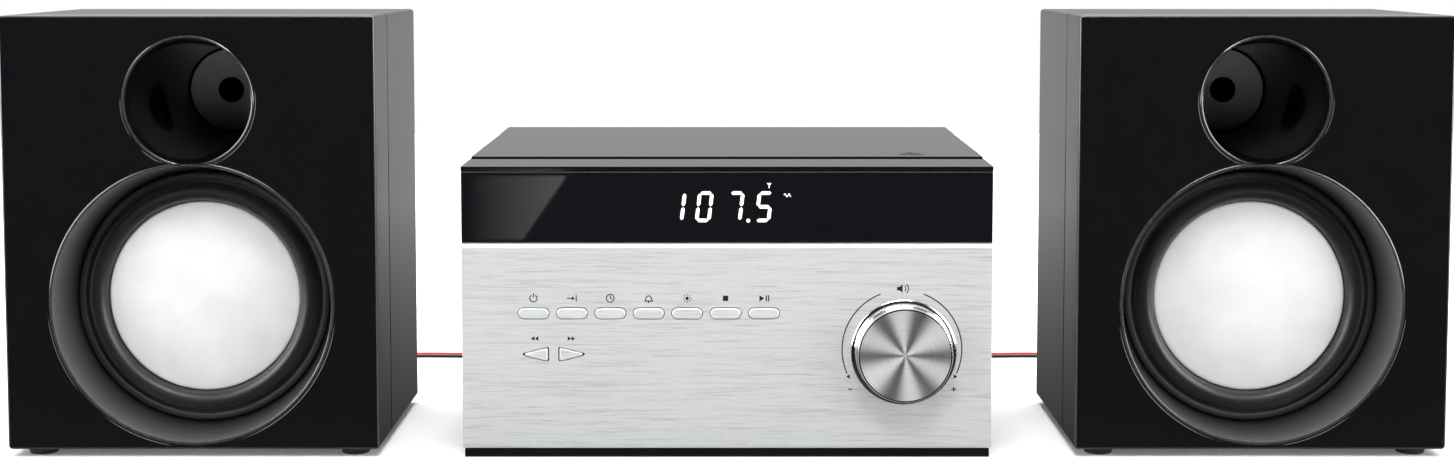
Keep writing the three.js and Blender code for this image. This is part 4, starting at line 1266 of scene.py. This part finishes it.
def louvreTree(finish):
    # a row of upright slats behind the vent slots
    tree, given = buildTree("vent_louvres", louvre)
    step = addNode(tree, "ShaderNodeCombineXYZ", links={0: (given, "Pitch")})
    row = addNode(tree, "GeometryNodeMeshLine", links={"Count": (given, "Count"), "Offset": (step, 0)})
    size = addNode(tree, "ShaderNodeCombineXYZ",
                   links={0: (given, "Width"), 1: (given, "Depth"), 2: (given, "Height")})
    slat = addNode(tree, "GeometryNodeMeshCube", links={"Size": (size, 0)})
    turn = addNode(tree, "GeometryNodeTransform", {"Rotation": (0, 0, math.radians(35))},
                   {"Geometry": (slat, 0)})
    put = addNode(tree, "GeometryNodeInstanceOnPoints", links={"Points": (row, 0), "Instance": (turn, 0)})
    real = addNode(tree, "GeometryNodeRealizeInstances", links={0: (put, 0)})
    place = addNode(tree, "GeometryNodeTransform", {"Translation": louvrePlace}, {"Geometry": (real, 0)})
    done = addNode(tree, "GeometryNodeSetMaterial", {"Material": finish}, {0: (place, 0)})
    addNode(tree, "NodeGroupOutput", links={0: (done, 0)})
    return tree


grown("vent_slats", louvreTree(finishes["satinBlack"]), louvre, pointMesh("vent_points", [(0, 0, 0)]),
      "chassis")
print("screws and louvres made")

# eject mark on the lid
lidMark = [[(u + 87.5, v - 48.0) for u, v in shape] for shape in
           ([[(-5.7, -1.0), (5.7, -1.0), (0, 8.0)]] + stroke([(-5.7, -5.0), (5.7, -5.0)], 3.4))]
printed("lid_mark", lidMark, atZ, unit["top"] + unit["lidProud"], 0.03, "ink", "lid")


# floor and reflection cards
def stageSheet(name, corners, material):
    mesh = bpy.data.meshes.new(name)
    mesh.from_pydata([Vector(c) for c in corners], [], [(0, 1, 2, 3)])
    mesh.materials.append(material)
    sheet = bpy.data.objects.new(name, mesh)
    scene.collection.objects.link(sheet)
    return sheet


floorMaterial, floorTree, floorCoords, floorShader = newFinish(
    "matt_paper_sweep", studio["floor"], 0.9, ior=1.3,
    **{"Emission Color": (1, 1, 1, 1), "Emission Strength": studio["floorGlow"]},
)
paper = noiseAt(floorTree, floorCoords, 60.0, detail=3)
tint(floorTree, floorShader, paper, "#f4f4f3", "#f9f9f8")
stageSheet("floor", [(-1.6, -1.3, 0), (1.6, -1.3, 0), (1.6, 1.7, 0), (-1.6, 1.7, 0)], floorMaterial)


def reflectionCard(name, corners, low, high, start, end, axis):
    # a card that only polished faces see, fading from low to high along an axis in metres
    material = bpy.data.materials.new(name + "_paper")
    material.use_nodes = True
    tree = material.node_tree
    tree.nodes.clear()
    coords = addNode(tree, "ShaderNodeTexCoord")
    parts = addNode(tree, "ShaderNodeSeparateXYZ", links={0: (coords, "Object")})
    span = {"From Min": start, "From Max": end, "To Min": low, "To Max": high}
    fade = addNode(tree, "ShaderNodeMapRange", span, {"Value": (parts, axis)})
    glow = addNode(tree, "ShaderNodeEmission", links={"Strength": (fade, 0)})
    addNode(tree, "ShaderNodeOutputMaterial", links={"Surface": (glow, 0)})
    card = stageSheet(name, corners, material)
    card.visible_camera = card.visible_diffuse = card.visible_shadow = card.visible_transmission = False


reflectionCard("floor_card", [(-9, -6, 0.0004), (9, -6, 0.0004), (9, 12, 0.0004), (-9, 12, 0.0004)],
               0.0, studio["floorGleam"], -0.25, 0.9, 1)
for cardName, sign in sides:
    reflectionCard(
        f"{cardName}_knob_card",
        [(sign * 1.1, -1.15, 0.01), (sign * 1.35, -0.35, 0.01), (sign * 1.35, -0.35, 1.1),
         (sign * 1.1, -1.15, 1.1)],
        studio["knobGleam"], studio["knobGleam"], 0.0, 1.0, 2,
    )
reflectionCard(
    "window_card", [(-0.170, -0.504, 0.0445), (-0.1306, -0.504, 0.0445), (-0.1024, -0.504, 0.0901),
                    (-0.170, -0.504, 0.0901)], 0.0, studio["windowGleam"], -0.165, -0.105, 0)
